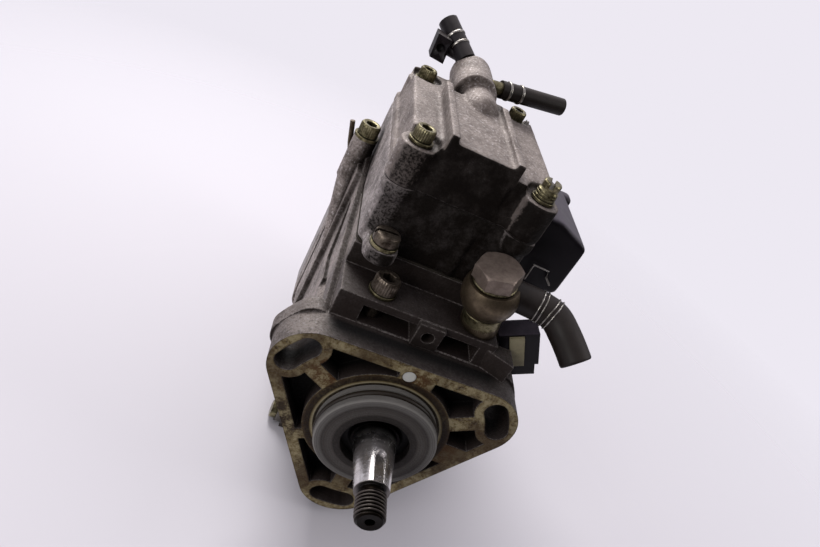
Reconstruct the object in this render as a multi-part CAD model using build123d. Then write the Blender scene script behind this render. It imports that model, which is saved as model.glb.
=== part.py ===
from build123d import *
import os
from math import cos, radians, sin, sqrt

os.makedirs("parts", exist_ok=True)

# Electronically governed axial-piston distributor injection pump.
# Millimetres. Origin where the shaft axis meets the front mounting face;
# the shaft points along -Y, +X is to the right of someone facing it, +Z is up to the cover.

# --- clearances -------------------------------------------------------------
running_clear = 0.03        # radial, shaft or plunger in its bore
part_clear = 0.3            # between pieces that move past each other
slip_clear = 0.15           # side play of dogs, pins and vanes in their slots

# --- mounting flange --------------------------------------------------------
lobe_angles = (30, 150, 270)
lobe_centre_r = 40.4
lobe_r = 17.8
flange_t = 14.0
slot_centre_r = 49.6
slot_width = 9.8
slot_half_angle = 6.3       # degrees each side, for timing the pump on its studs
slot_boss_wall = 3.9
slot_boss_t = 20.0
rim_width = 5.0
rib_width = 7.8
hub_r = 30.5
pocket_depth = 9.0
gallery_x = 3.4
gallery_boss_width = 15.0
left_web_angle = 211.0
left_web_width = 6.0
right_land_angle = -3.5
right_land_width = 12.0

# --- pilot ------------------------------------------------------------------
pilot_r = 25.0
pilot_len = 8.5
pilot_chamfer = 0.8
ring_section = 2.6          # O-ring cord diameter
ring_groove_depth = 2.1
ring_groove_width = 3.4
front_land_len = 3.0
seal_bore_r = 14.0
seal_depth = 4.0            # seal face behind the pilot face
seal_len = 7.0
gallery_plug_r = 2.7
gallery_plug_z = 32.2
gallery_plug_len = 6.0

# --- drive shaft ------------------------------------------------------------
thread_r = 6.0
thread_len = 12.8
thread_relief = 2.2
centre_hole_r = 2.2
taper_small_r = 6.9
taper_big_r = 8.9
taper_len = 24.7
taper_end_y = -6.0
key_width = 4.0
key_depth = 2.4
key_len = 14.0
journal_r = 10.0
bush_wall = 2.5
bush_len = 23.0
flange_disc_r = 16.0
flange_disc_t = 4.0

# --- supply pump ------------------------------------------------------------
rotor_r = 22.0
rotor_t = 14.0
cam_ring_r = 30.0
ring_offset = 2.0           # eccentricity of the ring bore
vane_count = 4
vane_t = 2.4
vane_depth = 8.0
plate_t = 4.0
plate_screw_r = 2.5
plate_screw_pitch_r = 26.0

# --- pump housing -----------------------------------------------------------
cavity_r = 32.0
barrel_r = 38.0
barrel_neck_r = 34.0
housing_len = 118.0
side_left_x = -37.0
side_right_x = 30.5
shelf_z = 50.0
shelf_front_y = 14.0
shelf_t = 3.5
shelf_right_x = 39.0
toe_front_y = 9.0
toe_back_y = 19.5
gasket_z = 60.0
gasket_t = 0.8
governor_front_y = 33.0
recess_back_y = 27.0
front_boss_x = 2.2
front_boss_width = 11.0
front_boss_y = 11.5
front_boss_z = 44.0
front_boss_hole_r = 2.6
front_boss_hole_len = 12.0
rear_flange_t = 12.0
rear_flange_r = 10.0
head_half = 42.0
column_x = -43.1
column_y = 96.0
column_r = 5.6
column_top_z = 75.0
gusset_t = 2.4

# --- timing device ----------------------------------------------------------
timing_z = -47.0
timing_piston_r = 12.0
timing_wall = 4.5
timing_half = 28.0
timing_travel = 8.0
piston_len = 40.0
peg_r = 3.5
peg_play = 1.3              # room for the peg to tilt as the ring turns
timing_cover_t = 3.5
timing_cover_half = 18.0
timing_cover_boss = 5.0
timing_screw_pitch = 13.0
spring_pocket = 12.0
timing_spring_r = 8.0
valve_thread_r = 7.0
valve_body_r = 10.5
valve_gap = 1.2               # between the timing solenoid and the castings round it

# --- roller ring and cam plate ----------------------------------------------
lobe_count = 4
roller_r = 6.0
roller_len = 9.0
roller_mid_r = 24.0
roller_pin_r = 2.5
ring_inner_r = 17.6
ring_t = 15.0
roller_stand = 4.0          # how far the rollers stand out of the ring
cam_r = 29.0
cam_t = 7.0
cam_lift = 2.2
cam_nose_r = 14.0
dog_width = 9.0
dog_inner_r = 7.4
dog_outer_r = 15.6
cross_t = 8.0

# --- plunger ----------------------------------------------------------------
plunger_r = 6.0
foot_r = 9.5
foot_t = 2.5
bridge_len = 56.0
bridge_width = 15.0
bridge_t = 2.5
spring_pitch = 20.5
spring_r = 6.3
spring_wire = 1.6
spring_turns = 6
collar_r = 13.5
collar_len = 10.8
collar_groove_depth = 3.6
bridge_gap = 1.8

# --- actuator ---------------------------------------------------------------
eccentric = 3.2
ball_r = 2.0
swing = 60.0                # degrees of actuator travel
spindle_r = 4.0
actuator_rotor_r = 11.0
actuator_rotor_t = 16.0
stator_half_depth = 14.0
stator_width = 38.0
stator_corner_r = 8.0
stator_t = 18.0
sensor_r = 9.0
sensor_t = 5.0

# --- governor housing and cover ---------------------------------------------
governor_left_x = -37.0
governor_right_x = 28.0
governor_back_y = 118.0
governor_wall = 5.0
front_rib_x = 1.0
front_rib_width = 3.0
cover_split_z = 90.0
cover_rim_t = 4.5
cover_top_z = 109.0
cover_draft = 3.0
cover_wall = 4.0
ridge_xs = (-21.0, 6.0)
ridge_width = 3.2
ridge_z = 115.5
ridge_front_y = 33.5
ridge_back_y = 92.0
panel_z = 113.0
ear_r = 7.5
ear_screw_grip = 12.0
shelf_screw = (-20.5, 21.5)
ear_points = ((-31.0, 38.5), (20.0, 35.0), (-28.7, 108.0), (18.0, 111.0))
ear_top_z = 106.0
ear_drop = 5.0
shear_ear = 1               # this ear has the tamper-resisting screw
outlet_x = -7.0
outlet_r = 10.0
outlet_z = 112.0
outlet_front_y = 98.0
blister_r = 8.5
blister_y = 87.0
blister_shift = 2.0
outlet_back_y = 128.0

# --- screws -----------------------------------------------------------------
cap_head_r = 5.0
cap_head_h = 6.0
cap_socket_r = 2.9
cap_shank_r = 3.0
washer_r = 5.8
washer_t = 1.4

# --- fuel inlet -------------------------------------------------------------
inlet_base = (22.4, 23.4, shelf_z)
inlet_lean_x = 7.0
inlet_lean_y = -14.0
seat_r = 8.2
seat_h = 5.0
banjo_r = 10.6
banjo_h = 14.0
banjo_washer_t = 1.2
hex_across = 17.0
hex_h = 11.0
stub_r = 4.6
stub_len = 20.0
inlet_hose_r = 6.7
inlet_hose_run = 32.5
inlet_hose_drop = 23.0
inlet_hose_bend_r = 12.0
inlet_mouth_depth = 9.0

# --- return line ------------------------------------------------------------
return_hose_r = 4.8
return_hose_len = 34.0
nipple_r = 3.1
nipple_show = 0.6
return_y = 106.0
tee_r = 5.7
tee_len = 22.0
tee_block = (8.0, 8.0, 13.0)
tee_clip_places = (11.0, 16.0)
return_clip_places = (4.5, 9.0)
clip_places = (4.0, 9.6)   # along the inlet hose from the banjo
clip_wire = 0.9
clip_width = 2.6

# --- distributor head -------------------------------------------------------
head_r = 36.0
head_len = 42.0
spigot_len = 5.0
head_flange_t = 12.0
head_screw_pitch = 33.0
outlet_pitch_r = 24.0
valve_holder_r = 8.0
valve_holder_len = 26.0
valve_nose_r = 6.0
valve_bore_r = 2.4
barrel_depth = 34.0
centre_plug_r = 9.0
solenoid_r = 12.5
solenoid_len = 34.0
solenoid_behind_head = 28.0
armature_r = 5.5
armature_len = 15.0
armature_stroke = 1.2

# --- electrical pieces ------------------------------------------------------
module_x = (28.0, 50.0)
module_y = (42.0, 88.0)
module_z = (63.0, 98.0)
module_drop = 7.0
plug_at = (45.0, 27.5, 44.0)
plug_size = (17.0, 10.0, 22.0)
plug_lean = 29.0            # degrees, top of the plug towards the pump
plug_step = 1.6
lock_size = (6.2, 1.6, 15.0)
bracket_t = 2.0


# ---------------------------------------------------------------------------
# positions that follow from the sizes
pilot_face_y = -pilot_len
taper_start_y = taper_end_y - taper_len
tip_y = taper_start_y - thread_len
seal_face_y = pilot_face_y + seal_depth
bush_start_y = seal_face_y + seal_len
bush_end_y = bush_start_y + bush_len
rotor_y = bush_end_y + 2.0
plate_y = rotor_y + rotor_t
disc_y = plate_y + plate_t + 2.0
ring_y = disc_y + flange_disc_t + 0.5
timing_y = ring_y + ring_t / 2
roller_y = ring_y + ring_t + roller_stand - roller_r
cam_rest_y = roller_y + roller_r + part_clear + cam_lift
cam_back_y = cam_rest_y + cam_t
bridge_y = cam_back_y + foot_t + part_clear
collar_y = bridge_y + bridge_t + bridge_gap
half_swing = swing / 2
collar_mid_y = collar_y + collar_len / 2
actuator_y = collar_mid_y + eccentric * sin(radians(half_swing))
actuator_x = -eccentric * cos(radians(half_swing / 2))
collar_travel = 2 * eccentric * sin(radians(half_swing))
head_y = housing_len
solenoid_y = head_y + solenoid_behind_head
holder_y = head_y + head_len


def span(a, b):
    return abs(b - a), (a + b) / 2


def rod_x(r, x0, x1, y=0.0, z=0.0):
    length, mid = span(x0, x1)
    return Pos(mid, y, z) * Rot(0, 90, 0) * Cylinder(r, length)


def rod_y(r, y0, y1, x=0.0, z=0.0):
    length, mid = span(y0, y1)
    return Pos(x, mid, z) * Rot(90, 0, 0) * Cylinder(r, length)


def rod_z(r, z0, z1, x=0.0, y=0.0):
    length, mid = span(z0, z1)
    return Pos(x, y, mid) * Cylinder(r, length)


def block(x0, x1, y0, y1, z0, z1):
    (w, cx), (d, cy), (h, cz) = span(x0, x1), span(y0, y1), span(z0, z1)
    return Pos(cx, cy, cz) * Box(w, d, h)


def front_face(y):
    """Sketch plane facing the drive end, with sketch x, y along X, Z."""
    return Plane(origin=(0, y, 0), x_dir=(1, 0, 0), z_dir=(0, -1, 0))


def prism_y(sketch, y0, y1):
    """Extrude a sketch drawn in X, Z from y0 back to y1."""
    return extrude(front_face(y1) * sketch, amount=y1 - y0)


def prism_x(sketch, x0, x1):
    """Extrude a sketch drawn in Y, Z from x0 to x1."""
    return extrude(Plane(origin=(x0, 0, 0), x_dir=(0, 1, 0), z_dir=(1, 0, 0)) * sketch, amount=x1 - x0)


def prism_z(sketch, z0, z1):
    return extrude(Pos(0, 0, z0) * sketch, amount=z1 - z0)


def turned(points):
    """Solid of revolution about the shaft axis from (radius, y) points."""
    return revolve(Plane.XY * make_face(Polyline(*points, close=True)), Axis.Y)


def ring_y_solid(r_out, r_in, y0, y1, x=0.0, z=0.0):
    return rod_y(r_out, y0, y1, x, z) - rod_y(r_in, y0 - 1, y1 + 1, x, z)


def around_y(shape, angle):
    """Turn about the shaft axis, anticlockwise for someone facing the drive end."""
    return Rot(0, -angle, 0) * shape


def rounded(x0, x1, y0, y1, r):
    (w, cx), (d, cy) = span(x0, x1), span(y0, y1)
    return Pos(cx, cy) * RectangleRounded(w, d, r)


# ---------------------------------------------------------------------------
# mounting flange
def flange_outline():
    lobes = Sketch()
    for a in lobe_angles:
        lobes += Pos(lobe_centre_r * cos(radians(a)), lobe_centre_r * sin(radians(a))) * Circle(lobe_r)
    return make_hull(lobes.edges())


def slot_shape(angle, width):
    """Slot bent round the shaft axis, so the pump can be turned on its studs."""
    path = CenterArc((0, 0), slot_centre_r, angle - slot_half_angle, 2 * slot_half_angle)
    return SlotArc(path, width)


def pocket_shape():
    """Cored areas of the flange face, left between the rim, hub, slot bosses and ribs."""
    area = offset(flange_outline(), -rim_width) - Circle(hub_r)
    spokes = [(a, rib_width) for a in lobe_angles]
    spokes += [(left_web_angle, left_web_width), (right_land_angle, right_land_width)]
    for angle, width in spokes:
        area -= Rot(0, 0, angle) * Pos(slot_centre_r / 2, 0) * Rectangle(slot_centre_r, width)
    for a in lobe_angles:
        area -= slot_shape(a, slot_width + 2 * slot_boss_wall)
    area -= Pos(gallery_x, lobe_r + lobe_centre_r / 2) * Rectangle(gallery_boss_width, lobe_centre_r)
    return area


def flange():
    body = prism_y(flange_outline(), 0, flange_t)
    for a in lobe_angles:
        body += prism_y(slot_shape(a, slot_width + 2 * slot_boss_wall), flange_t - 1, slot_boss_t)
    for face in pocket_shape().faces():
        body -= prism_y(Sketch() + face, -0.0, pocket_depth)
    return body


# ---------------------------------------------------------------------------
# pump housing
def housing_turning():
    """Outside of the pilot and barrel, turned on the shaft axis."""
    groove_y = pilot_face_y + front_land_len
    groove_r = pilot_r - ring_groove_depth
    return turned([
        (0, pilot_face_y), (pilot_r - pilot_chamfer, pilot_face_y), (pilot_r, pilot_face_y + pilot_chamfer),
        (pilot_r, groove_y), (groove_r, groove_y), (groove_r, groove_y + ring_groove_width),
        (pilot_r, groove_y + ring_groove_width), (pilot_r, 0), (hub_r, 0), (hub_r, flange_t),
        (barrel_neck_r, flange_t), (barrel_r, flange_t + 16), (barrel_r, housing_len), (0, housing_len)])


def side_profile():
    """Upper casting seen from the side: shelf in front, gasket face behind."""
    return make_face(Polyline(
        (flange_t - 4, 0), (shelf_front_y, shelf_z - 6), (shelf_front_y, shelf_z),
        (governor_front_y, shelf_z), (governor_front_y, gasket_z),
        (housing_len, gasket_z), (housing_len, 0), close=True))


def housing_block():
    body = prism_x(side_profile(), side_left_x, side_right_x)
    toe = Polyline((side_right_x - 8.5, toe_back_y - 3), (shelf_right_x, toe_front_y), (shelf_right_x, toe_back_y),
                   (side_right_x - 8.5, toe_back_y), close=True)
    body += prism_z(make_face(toe), shelf_z - 15, shelf_z - 3)
    # two cored recesses under the shelf, either side of the front boss
    left = (side_left_x + 11, front_boss_x - front_boss_width / 2)
    right = (front_boss_x + front_boss_width / 2, side_right_x - 6.5)
    for x0, x1 in (left, right):
        body -= block(x0, x1, 0, recess_back_y, lobe_r + lobe_centre_r / 2 + 0.5, shelf_z - shelf_t)
    boss_z = (front_boss_z - front_boss_width / 2, front_boss_z + front_boss_width / 2)
    body += block(front_boss_x - front_boss_width / 2, front_boss_x + front_boss_width / 2,
                  front_boss_y, recess_back_y + 2, *boss_z)
    return body


def side_gusset():
    """Left wall that climbs from the shelf to the tall bolt column."""
    web = make_face(Polyline((flange_t, 12), (flange_t + 2, 38), (column_y, column_top_z - 6),
                             (column_y, -20), (52, -20), close=True))
    body = prism_x(web, side_left_x - gusset_t, side_left_x - part_clear)
    body += prism_x(web & Pos(60, gasket_z / 2 - 20) * Rectangle(200, gasket_z + 40), side_left_x - 1,
                    side_left_x + 1)
    hollow = make_face(Polyline((42, 26), (66, 26), (80, 52), (74, 52), close=True))
    body -= prism_x(hollow, side_left_x - gusset_t - 1, side_left_x - 1.0)
    body += rod_z(column_r, column_top_z - 22, column_top_z, column_x, column_y)
    body += block(column_x + 1.2, side_left_x - part_clear, column_y - 14, column_y + 6, -24, gasket_z + 4)
    return body + block(column_x + 1.2, side_left_x + 1, column_y - 14, column_y + 6, -24, gasket_z)


def timing_outside():
    r = timing_piston_r + timing_wall
    body = rod_x(r, -timing_half, timing_half, timing_y, timing_z)
    for x0, x1 in ((-timing_half, -timing_half + 6), (timing_half - 6, timing_half)):
        body += block(x0, x1, timing_y - timing_cover_half, timing_y + timing_cover_half,
                      timing_z - r, timing_z + r)
    web = make_face(Polyline((timing_y - 20, -20), (timing_y - r + 2, timing_z), (timing_y + r - 2, timing_z),
                             (timing_y + 24, -20), close=True))
    body += rod_y(valve_thread_r + 3, timing_y, valve_face_y(), valve_x(), valve_z())
    return body + prism_x(web, -timing_half + 7, timing_half - 7)


def valve_x():
    return -timing_half + 14


def valve_z():
    return -(sqrt(barrel_r**2 - valve_x()**2) + valve_gap + valve_body_r)


def valve_face_y():
    return timing_y + timing_piston_r + timing_wall + 4


def pressure_boss():
    y, z = pressure_valve_at()
    return rod_x(valve_thread_r + 2.5, side_right_x - 6, barrel_r + 2, y, z)


def pressure_valve_at():
    return rotor_y + rotor_t / 2, 6.0


def rear_flange():
    square = RectangleRounded(2 * head_half, 2 * head_half, rear_flange_r)
    return prism_y(square, housing_len - rear_flange_t, housing_len)


def housing_cavity():
    """Stepped bore for seal, bush, supply pump and cam drive, open to the governor above."""
    peg_slot_x = timing_travel / 2 + peg_r + 2.0
    top_y = (collar_y - 8, housing_len - 5)
    cut = rod_y(seal_bore_r, pilot_face_y - 1, bush_start_y)
    cut += rod_y(journal_r + bush_wall, bush_start_y - 1, rotor_y - 1)
    cut += rod_y(cam_ring_r, rotor_y - 1, disc_y)
    cut += rod_y(cavity_r, disc_y - 1, housing_len + 1)
    cut += block(-22, 22, top_y[0], top_y[1], 0, gasket_z + 1)
    cut += rod_x(timing_piston_r + running_clear, -timing_half - 1, timing_half + 1, timing_y, timing_z)
    cut += block(-peg_slot_x, peg_slot_x, timing_y - peg_r - 1, timing_y + peg_r + 1, timing_z, -cavity_r + 3)
    cut += rod_y(head_spigot_r(), housing_len - spigot_len - part_clear, housing_len + 1)
    return cut


def head_spigot_r():
    return cavity_r + 2.0


def housing_holes():
    cut = rod_y(front_boss_hole_r, front_boss_y - 1, front_boss_y + front_boss_hole_len,
                front_boss_x, front_boss_z)
    cut += rod_y(gallery_plug_r, -1, gallery_plug_len, 0, gallery_plug_z)
    for a in lobe_angles:
        cut += prism_y(slot_shape(a, slot_width), -1, slot_boss_t + 30)
    for x, z in head_screw_points():
        cut += rod_y(cap_shank_r, housing_len - rear_flange_t + 2, housing_len + 1, x, z)
    y, z = pressure_valve_at()
    cut += rod_x(valve_thread_r, barrel_r - 4, barrel_r + 3, y, z)
    return cut + rod_y(valve_thread_r, valve_face_y() - 5, valve_face_y() + 1, valve_x(), valve_z())


def pump_housing():
    body = housing_turning() + flange() + housing_block() + side_gusset() + timing_outside() + rear_flange()
    body += pressure_boss()
    return body - housing_cavity() - housing_holes()


def head_screw_points():
    return [(sx * head_screw_pitch, sz * head_screw_pitch) for sx in (-1, 1) for sz in (-1, 1)]


# ---------------------------------------------------------------------------
# pieces pressed into the housing
def shaft_bush():
    return ring_y_solid(journal_r + bush_wall, journal_r + running_clear, bush_start_y, bush_end_y)


def shaft_seal():
    """Lip seal: outer case, web and a lip that runs on the journal."""
    y0, y1 = seal_face_y, seal_face_y + seal_len
    lip_r = journal_r + running_clear
    return turned([(seal_bore_r, y0), (seal_bore_r, y1), (seal_bore_r - 1.5, y1), (seal_bore_r - 1.5, y0 + 2),
                   (lip_r + 1.6, y0 + 2), (lip_r + 1.6, y1 - 1), (lip_r, y1 - 1.8), (lip_r, y0 + 0.8),
                   (lip_r + 1.2, y0), ])


def pilot_o_ring():
    groove_mid = pilot_face_y + front_land_len + ring_groove_width / 2
    centre_r = pilot_r - ring_groove_depth + ring_section / 2
    section = Pos(centre_r, groove_mid) * RegularPolygon(ring_section / 2, 6)
    return revolve(Plane.XY * section, Axis.Y)


def gallery_plug():
    return rod_y(gallery_plug_r, 0.2, gallery_plug_len, 0, gallery_plug_z)


# ---------------------------------------------------------------------------
# drive shaft and supply pump
def drive_shaft():
    relief_y = taper_start_y - thread_relief
    body = turned([
        (0, tip_y), (thread_r - 1.2, tip_y), (thread_r, tip_y + 1.2), (thread_r, relief_y),
        (thread_r - 0.9, relief_y + 0.6), (thread_r - 0.9, taper_start_y), (taper_small_r, taper_start_y),
        (taper_big_r, taper_end_y), (journal_r - 0.5, taper_end_y), (journal_r, taper_end_y + 0.5),
        (journal_r, disc_y), (flange_disc_r, disc_y), (flange_disc_r, disc_y + flange_disc_t),
        (0, disc_y + flange_disc_t)])
    body -= rod_y(centre_hole_r, tip_y - 1, tip_y + 4)
    key_floor = taper_big_r - key_depth
    body -= block(-key_width / 2, key_width / 2, taper_start_y - 1, taper_start_y + key_len,
                  key_floor, taper_big_r + 2)
    body -= rod_z(key_width / 2, key_floor, taper_big_r + 2, 0, taper_start_y + key_len)
    rotor_key_z = journal_r + 1.2
    body += block(-1.5, 1.5, rotor_y + 1, rotor_y + rotor_t - 1, journal_r - 2, rotor_key_z)
    return body + dogs(disc_y + flange_disc_t - 1, cross_y() + cross_t - 0.6, 0)


def cross_y():
    return disc_y + flange_disc_t + 1.2


def dogs(y0, y1, turn):
    """Pair of driving dogs on opposite sides of the axis, rounded to the cross disc outside."""
    pair = Sketch()
    for side in (-1, 1):
        mid = side * (dog_inner_r + dog_outer_r) / 2
        pair += Pos(mid, 0) * Rectangle(dog_outer_r - dog_inner_r, dog_width)
    return around_y(prism_y(pair & Circle(dog_outer_r), y0, y1), turn)


def cross_disc():
    """Disc with four slots that passes the drive from the shaft dogs to the cam plate dogs."""
    shape = Sketch() + Circle(dog_outer_r + 0.6)
    slot_w = dog_width + 2 * slip_clear
    for turn in range(0, 360, 90):
        shape -= Rot(0, 0, turn) * Pos(dog_inner_r - slip_clear + 10, 0) * Rectangle(20, slot_w)
    return prism_y(shape, cross_y(), cross_y() + cross_t)


def supply_rotor():
    shape = Circle(rotor_r) - Circle(journal_r + running_clear)
    shape -= Pos(0, journal_r + 1) * Rectangle(3.0 + 2 * slip_clear, 3.0)
    for i in range(vane_count):
        slot = Pos(rotor_r - vane_depth / 2, 0) * Rectangle(vane_depth + 1, vane_t + 2 * slip_clear)
        shape -= Rot(0, 0, 45 + i * 360 / vane_count) * slot
    return prism_y(shape, rotor_y + part_clear, rotor_y + rotor_t - part_clear)


def supply_vanes():
    vanes = []
    for i in range(vane_count):
        blade = block(rotor_r - vane_depth, rotor_r - 0.1, rotor_y + 0.5, rotor_y + rotor_t - 0.5,
                      -vane_t / 2, vane_t / 2)
        vanes.append(around_y(blade, 45 + i * 360 / vane_count))
    return vanes


def supply_ring():
    """Eccentric ring that the vanes sweep; its bore is offset sideways."""
    bore_r = rotor_r + ring_offset + part_clear
    shape = Circle(cam_ring_r) - Pos(ring_offset, 0) * Circle(bore_r)
    for x, z in plate_screw_points():
        shape -= Pos(x, z) * Circle(plate_screw_r)
    return prism_y(shape, rotor_y, rotor_y + rotor_t)


def supply_plate():
    """Rear cover of the supply pump, held by two screws."""
    shape = Circle(cam_ring_r) - Circle(journal_r + part_clear)
    for x, z in plate_screw_points():
        shape -= Pos(x, z) * Circle(plate_screw_r)
    return prism_y(shape, plate_y, plate_y + plate_t)


def plate_screw_points():
    return [(0, plate_screw_pitch_r), (0, -plate_screw_pitch_r)]


def plate_screws():
    screws = []
    for x, z in plate_screw_points():
        screw = rod_y(plate_screw_r, rotor_y, plate_y + plate_t, x, z)
        screw += rod_y(plate_screw_r + 1.0, plate_y + plate_t, plate_y + plate_t + 1.6, x, z)
        screws.append(screw)
    return screws


# ---------------------------------------------------------------------------
# roller ring, rollers and timing device
def roller_ring():
    """Ring that carries the rollers; a peg below ties it to the timing piston."""
    body = ring_y_solid(cavity_r - running_clear, ring_inner_r, ring_y, ring_y + ring_t)
    pocket_r = roller_len / 2 + part_clear
    for i in range(lobe_count):
        pocket = block(roller_mid_r - pocket_r, roller_mid_r + pocket_r, roller_y - roller_r - part_clear,
                       ring_y + ring_t + 1, -roller_r - part_clear, roller_r + part_clear)
        hole = rod_x(roller_pin_r, ring_inner_r - 1, cavity_r + 1, roller_y)
        body -= around_y(pocket + hole, roller_angle(i))
    peg_end = timing_z - timing_piston_r / 2
    return body + rod_z(peg_r, peg_end, -cavity_r + 4, 0, timing_y)


def roller_angle(index):
    return (index + 0.5) * 360 / lobe_count


def roller(index):
    half = roller_len / 2
    body = rod_x(roller_r, roller_mid_r - half, roller_mid_r + half, roller_y)
    body = chamfer(body.edges().filter_by(GeomType.CIRCLE), 0.5)
    body -= rod_x(roller_pin_r + running_clear, 0, cavity_r, roller_y)
    return around_y(body, roller_angle(index))


def roller_pins():
    return [around_y(rod_x(roller_pin_r, ring_inner_r + 0.4, cavity_r - 0.6, roller_y), roller_angle(i))
            for i in range(lobe_count)]


def timing_piston():
    """Piston across the pump below the roller ring, slotted for the peg and bored for its spring."""
    half = piston_len / 2
    body = rod_x(timing_piston_r, -half, half, timing_y, timing_z)
    slot_r = peg_r + peg_play
    body -= rod_z(slot_r, timing_z - timing_piston_r + 3, timing_z + timing_piston_r + 1, 0, timing_y)
    body -= rod_x(timing_spring_r + 0.5, half - spring_pocket, half + 1, timing_y, timing_z)
    return body


def timing_spring():
    """Return spring of the timing piston, shown at its fully advanced length."""
    start = piston_len / 2 - spring_pocket + timing_travel / 2 + part_clear
    return coil_x(timing_spring_r, start, timing_half - part_clear, timing_y, timing_z)


def coil_x(r, x0, x1, y, z):
    """Spring envelope along X: a thin-walled sleeve between its two end coils."""
    return rod_x(r, x0, x1, y, z) - rod_x(r - spring_wire, x0 - 1, x1 + 1, y, z)


def timing_cover(side):
    x0, x1 = side * timing_half, side * (timing_half + timing_cover_t)
    plate = Pos(timing_y, timing_z) * RectangleRounded(
        2 * timing_cover_half, 2 * (timing_piston_r + timing_wall), 5)
    body = prism_x(plate, min(x0, x1), max(x0, x1))
    body += rod_x(timing_cover_boss, x1, x1 + side * 2.0, timing_y, timing_z)
    for dy, dz in timing_screw_offsets():
        body -= rod_x(2.6, x0 - 1 * side, x1 + side, timing_y + dy, timing_z + dz)
    return body


def timing_covers():
    return [timing_cover(side) for side in (-1, 1)]


def timing_screw_offsets():
    return [(-timing_screw_pitch, -timing_piston_r + 1), (timing_screw_pitch, timing_piston_r - 1)]


def timing_cover_screws():
    screws = []
    for side in (-1, 1):
        x0 = side * timing_half
        x1 = side * (timing_half + timing_cover_t)
        for dy, dz in timing_screw_offsets():
            y, z = timing_y + dy, timing_z + dz
            screw = rod_x(2.6, x0, x1, y, z) + rod_x(4.2, x1, x1 + side * 3.0, y, z)
            screws.append(screw)
    return screws


# ---------------------------------------------------------------------------
# cam plate, plunger and control collar
def cam_plate():
    """Face cam with one rounded lobe for each roller, drawn at the top of its stroke."""
    body = rod_y(cam_r, cam_rest_y, cam_back_y)
    lobe_face = Circle(cam_r) - Circle(roller_mid_r - roller_len / 2 - 0.5)
    annulus = prism_y(lobe_face, cam_rest_y - 2 * cam_lift, cam_rest_y + cam_t / 2)
    for i in range(lobe_count):
        nose = rod_x(cam_nose_r, 0, cam_r + 5, cam_rest_y - cam_lift + cam_nose_r)
        body += around_y((nose & annulus).solids()[0], i * 360 / lobe_count)
    body += rod_y(dog_outer_r, cross_y() + cross_t + cam_lift + 1.0, cam_rest_y + 1)
    return body + dogs(cross_y() + cam_lift + 0.5, cam_rest_y + 1, 90)


def plunger():
    end_y = head_y + barrel_depth - 6
    body = rod_y(foot_r, cam_back_y, cam_back_y + foot_t)
    body += rod_y(plunger_r, cam_back_y + foot_t, end_y)
    return body - rod_y(1.6, collar_mid_y, end_y + 1)


def spring_bridge():
    """Bar behind the cam plate that the two return springs press on."""
    bar = RectangleRounded(bridge_len, bridge_width, 5) + Circle(foot_r + 2) - Circle(plunger_r + part_clear)
    body = prism_y(bar, bridge_y, bridge_y + bridge_t)
    for side in (-1, 1):
        body += rod_y(spring_r - spring_wire - 0.4, bridge_y + bridge_t, bridge_y + bridge_t + 2,
                      side * spring_pitch)
    return body


def return_springs():
    springs = []
    for side in (-1, 1):
        springs.append(ring_y_solid(spring_r, spring_r - spring_wire, bridge_y + bridge_t, head_y - spigot_len,
                                    side * spring_pitch))
    return springs


def control_collar():
    """Spill collar on the plunger, with the groove that the actuator's pin sits in."""
    body = ring_y_solid(collar_r, plunger_r + running_clear, collar_y, collar_y + collar_len)
    half = ball_r + slip_clear
    groove = ring_y_solid(collar_r + 1, collar_r - collar_groove_depth, collar_mid_y - half, collar_mid_y + half)
    return body - groove


# ---------------------------------------------------------------------------
# actuator
def spindle_end_z():
    return collar_r - collar_groove_depth + part_clear


def actuator_rotor():
    """Spindle with the two-pole rotor; the eccentric pin at its foot moves the collar."""
    disc_z = collar_r + part_clear
    rotor_z = gasket_z + 8
    body = rod_z(spindle_r, disc_z, rotor_z + actuator_rotor_t + sensor_t + 2, actuator_x, actuator_y)
    body += rod_z(eccentric + ball_r + 0.3, disc_z, disc_z + 2.5, actuator_x, actuator_y)
    pin_x = actuator_x + eccentric * cos(radians(half_swing))
    pin_y = actuator_y - eccentric * sin(radians(half_swing))
    body += rod_z(ball_r, spindle_end_z(), disc_z + 1, pin_x, pin_y)
    core = Circle(actuator_rotor_r) & Rectangle(2 * actuator_rotor_r, actuator_rotor_r * 1.3)
    body += Pos(actuator_x, actuator_y, 0) * prism_z(Rot(0, 0, -half_swing) * core, rotor_z,
                                                     rotor_z + actuator_rotor_t)
    sector = Circle(sensor_r) & Pos(0, sensor_r / 2) * Rectangle(2 * sensor_r, sensor_r)
    top = rotor_z + actuator_rotor_t + 1
    return body + Pos(actuator_x, actuator_y, 0) * prism_z(sector, top, top + sensor_t - 2)


def actuator_stator():
    """Laminated frame round the rotor, on a base plate that carries the spindle bush."""
    base_z = gasket_z + 4
    plate = rounded(actuator_x - stator_width / 2, actuator_x + stator_width / 2,
                    actuator_y - stator_half_depth, actuator_y + stator_half_depth, stator_corner_r)
    bore = Pos(actuator_x, actuator_y)
    body = prism_z(plate - bore * Circle(spindle_r + running_clear), base_z, base_z + 3.5)
    frame = plate - bore * Circle(actuator_rotor_r + part_clear)
    return body + prism_z(frame, base_z + 3.5, base_z + stator_t)


# ---------------------------------------------------------------------------
# governor housing and top cover
def governor_plan(grow=0.0):
    return rounded(governor_left_x - grow, governor_right_x + grow, governor_front_y - grow,
                   governor_back_y + grow, 5)


def cover_ears():
    plan = governor_plan()
    for x, y in ear_points:
        plan += Pos(x, y) * Circle(ear_r)
    return plan


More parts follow.
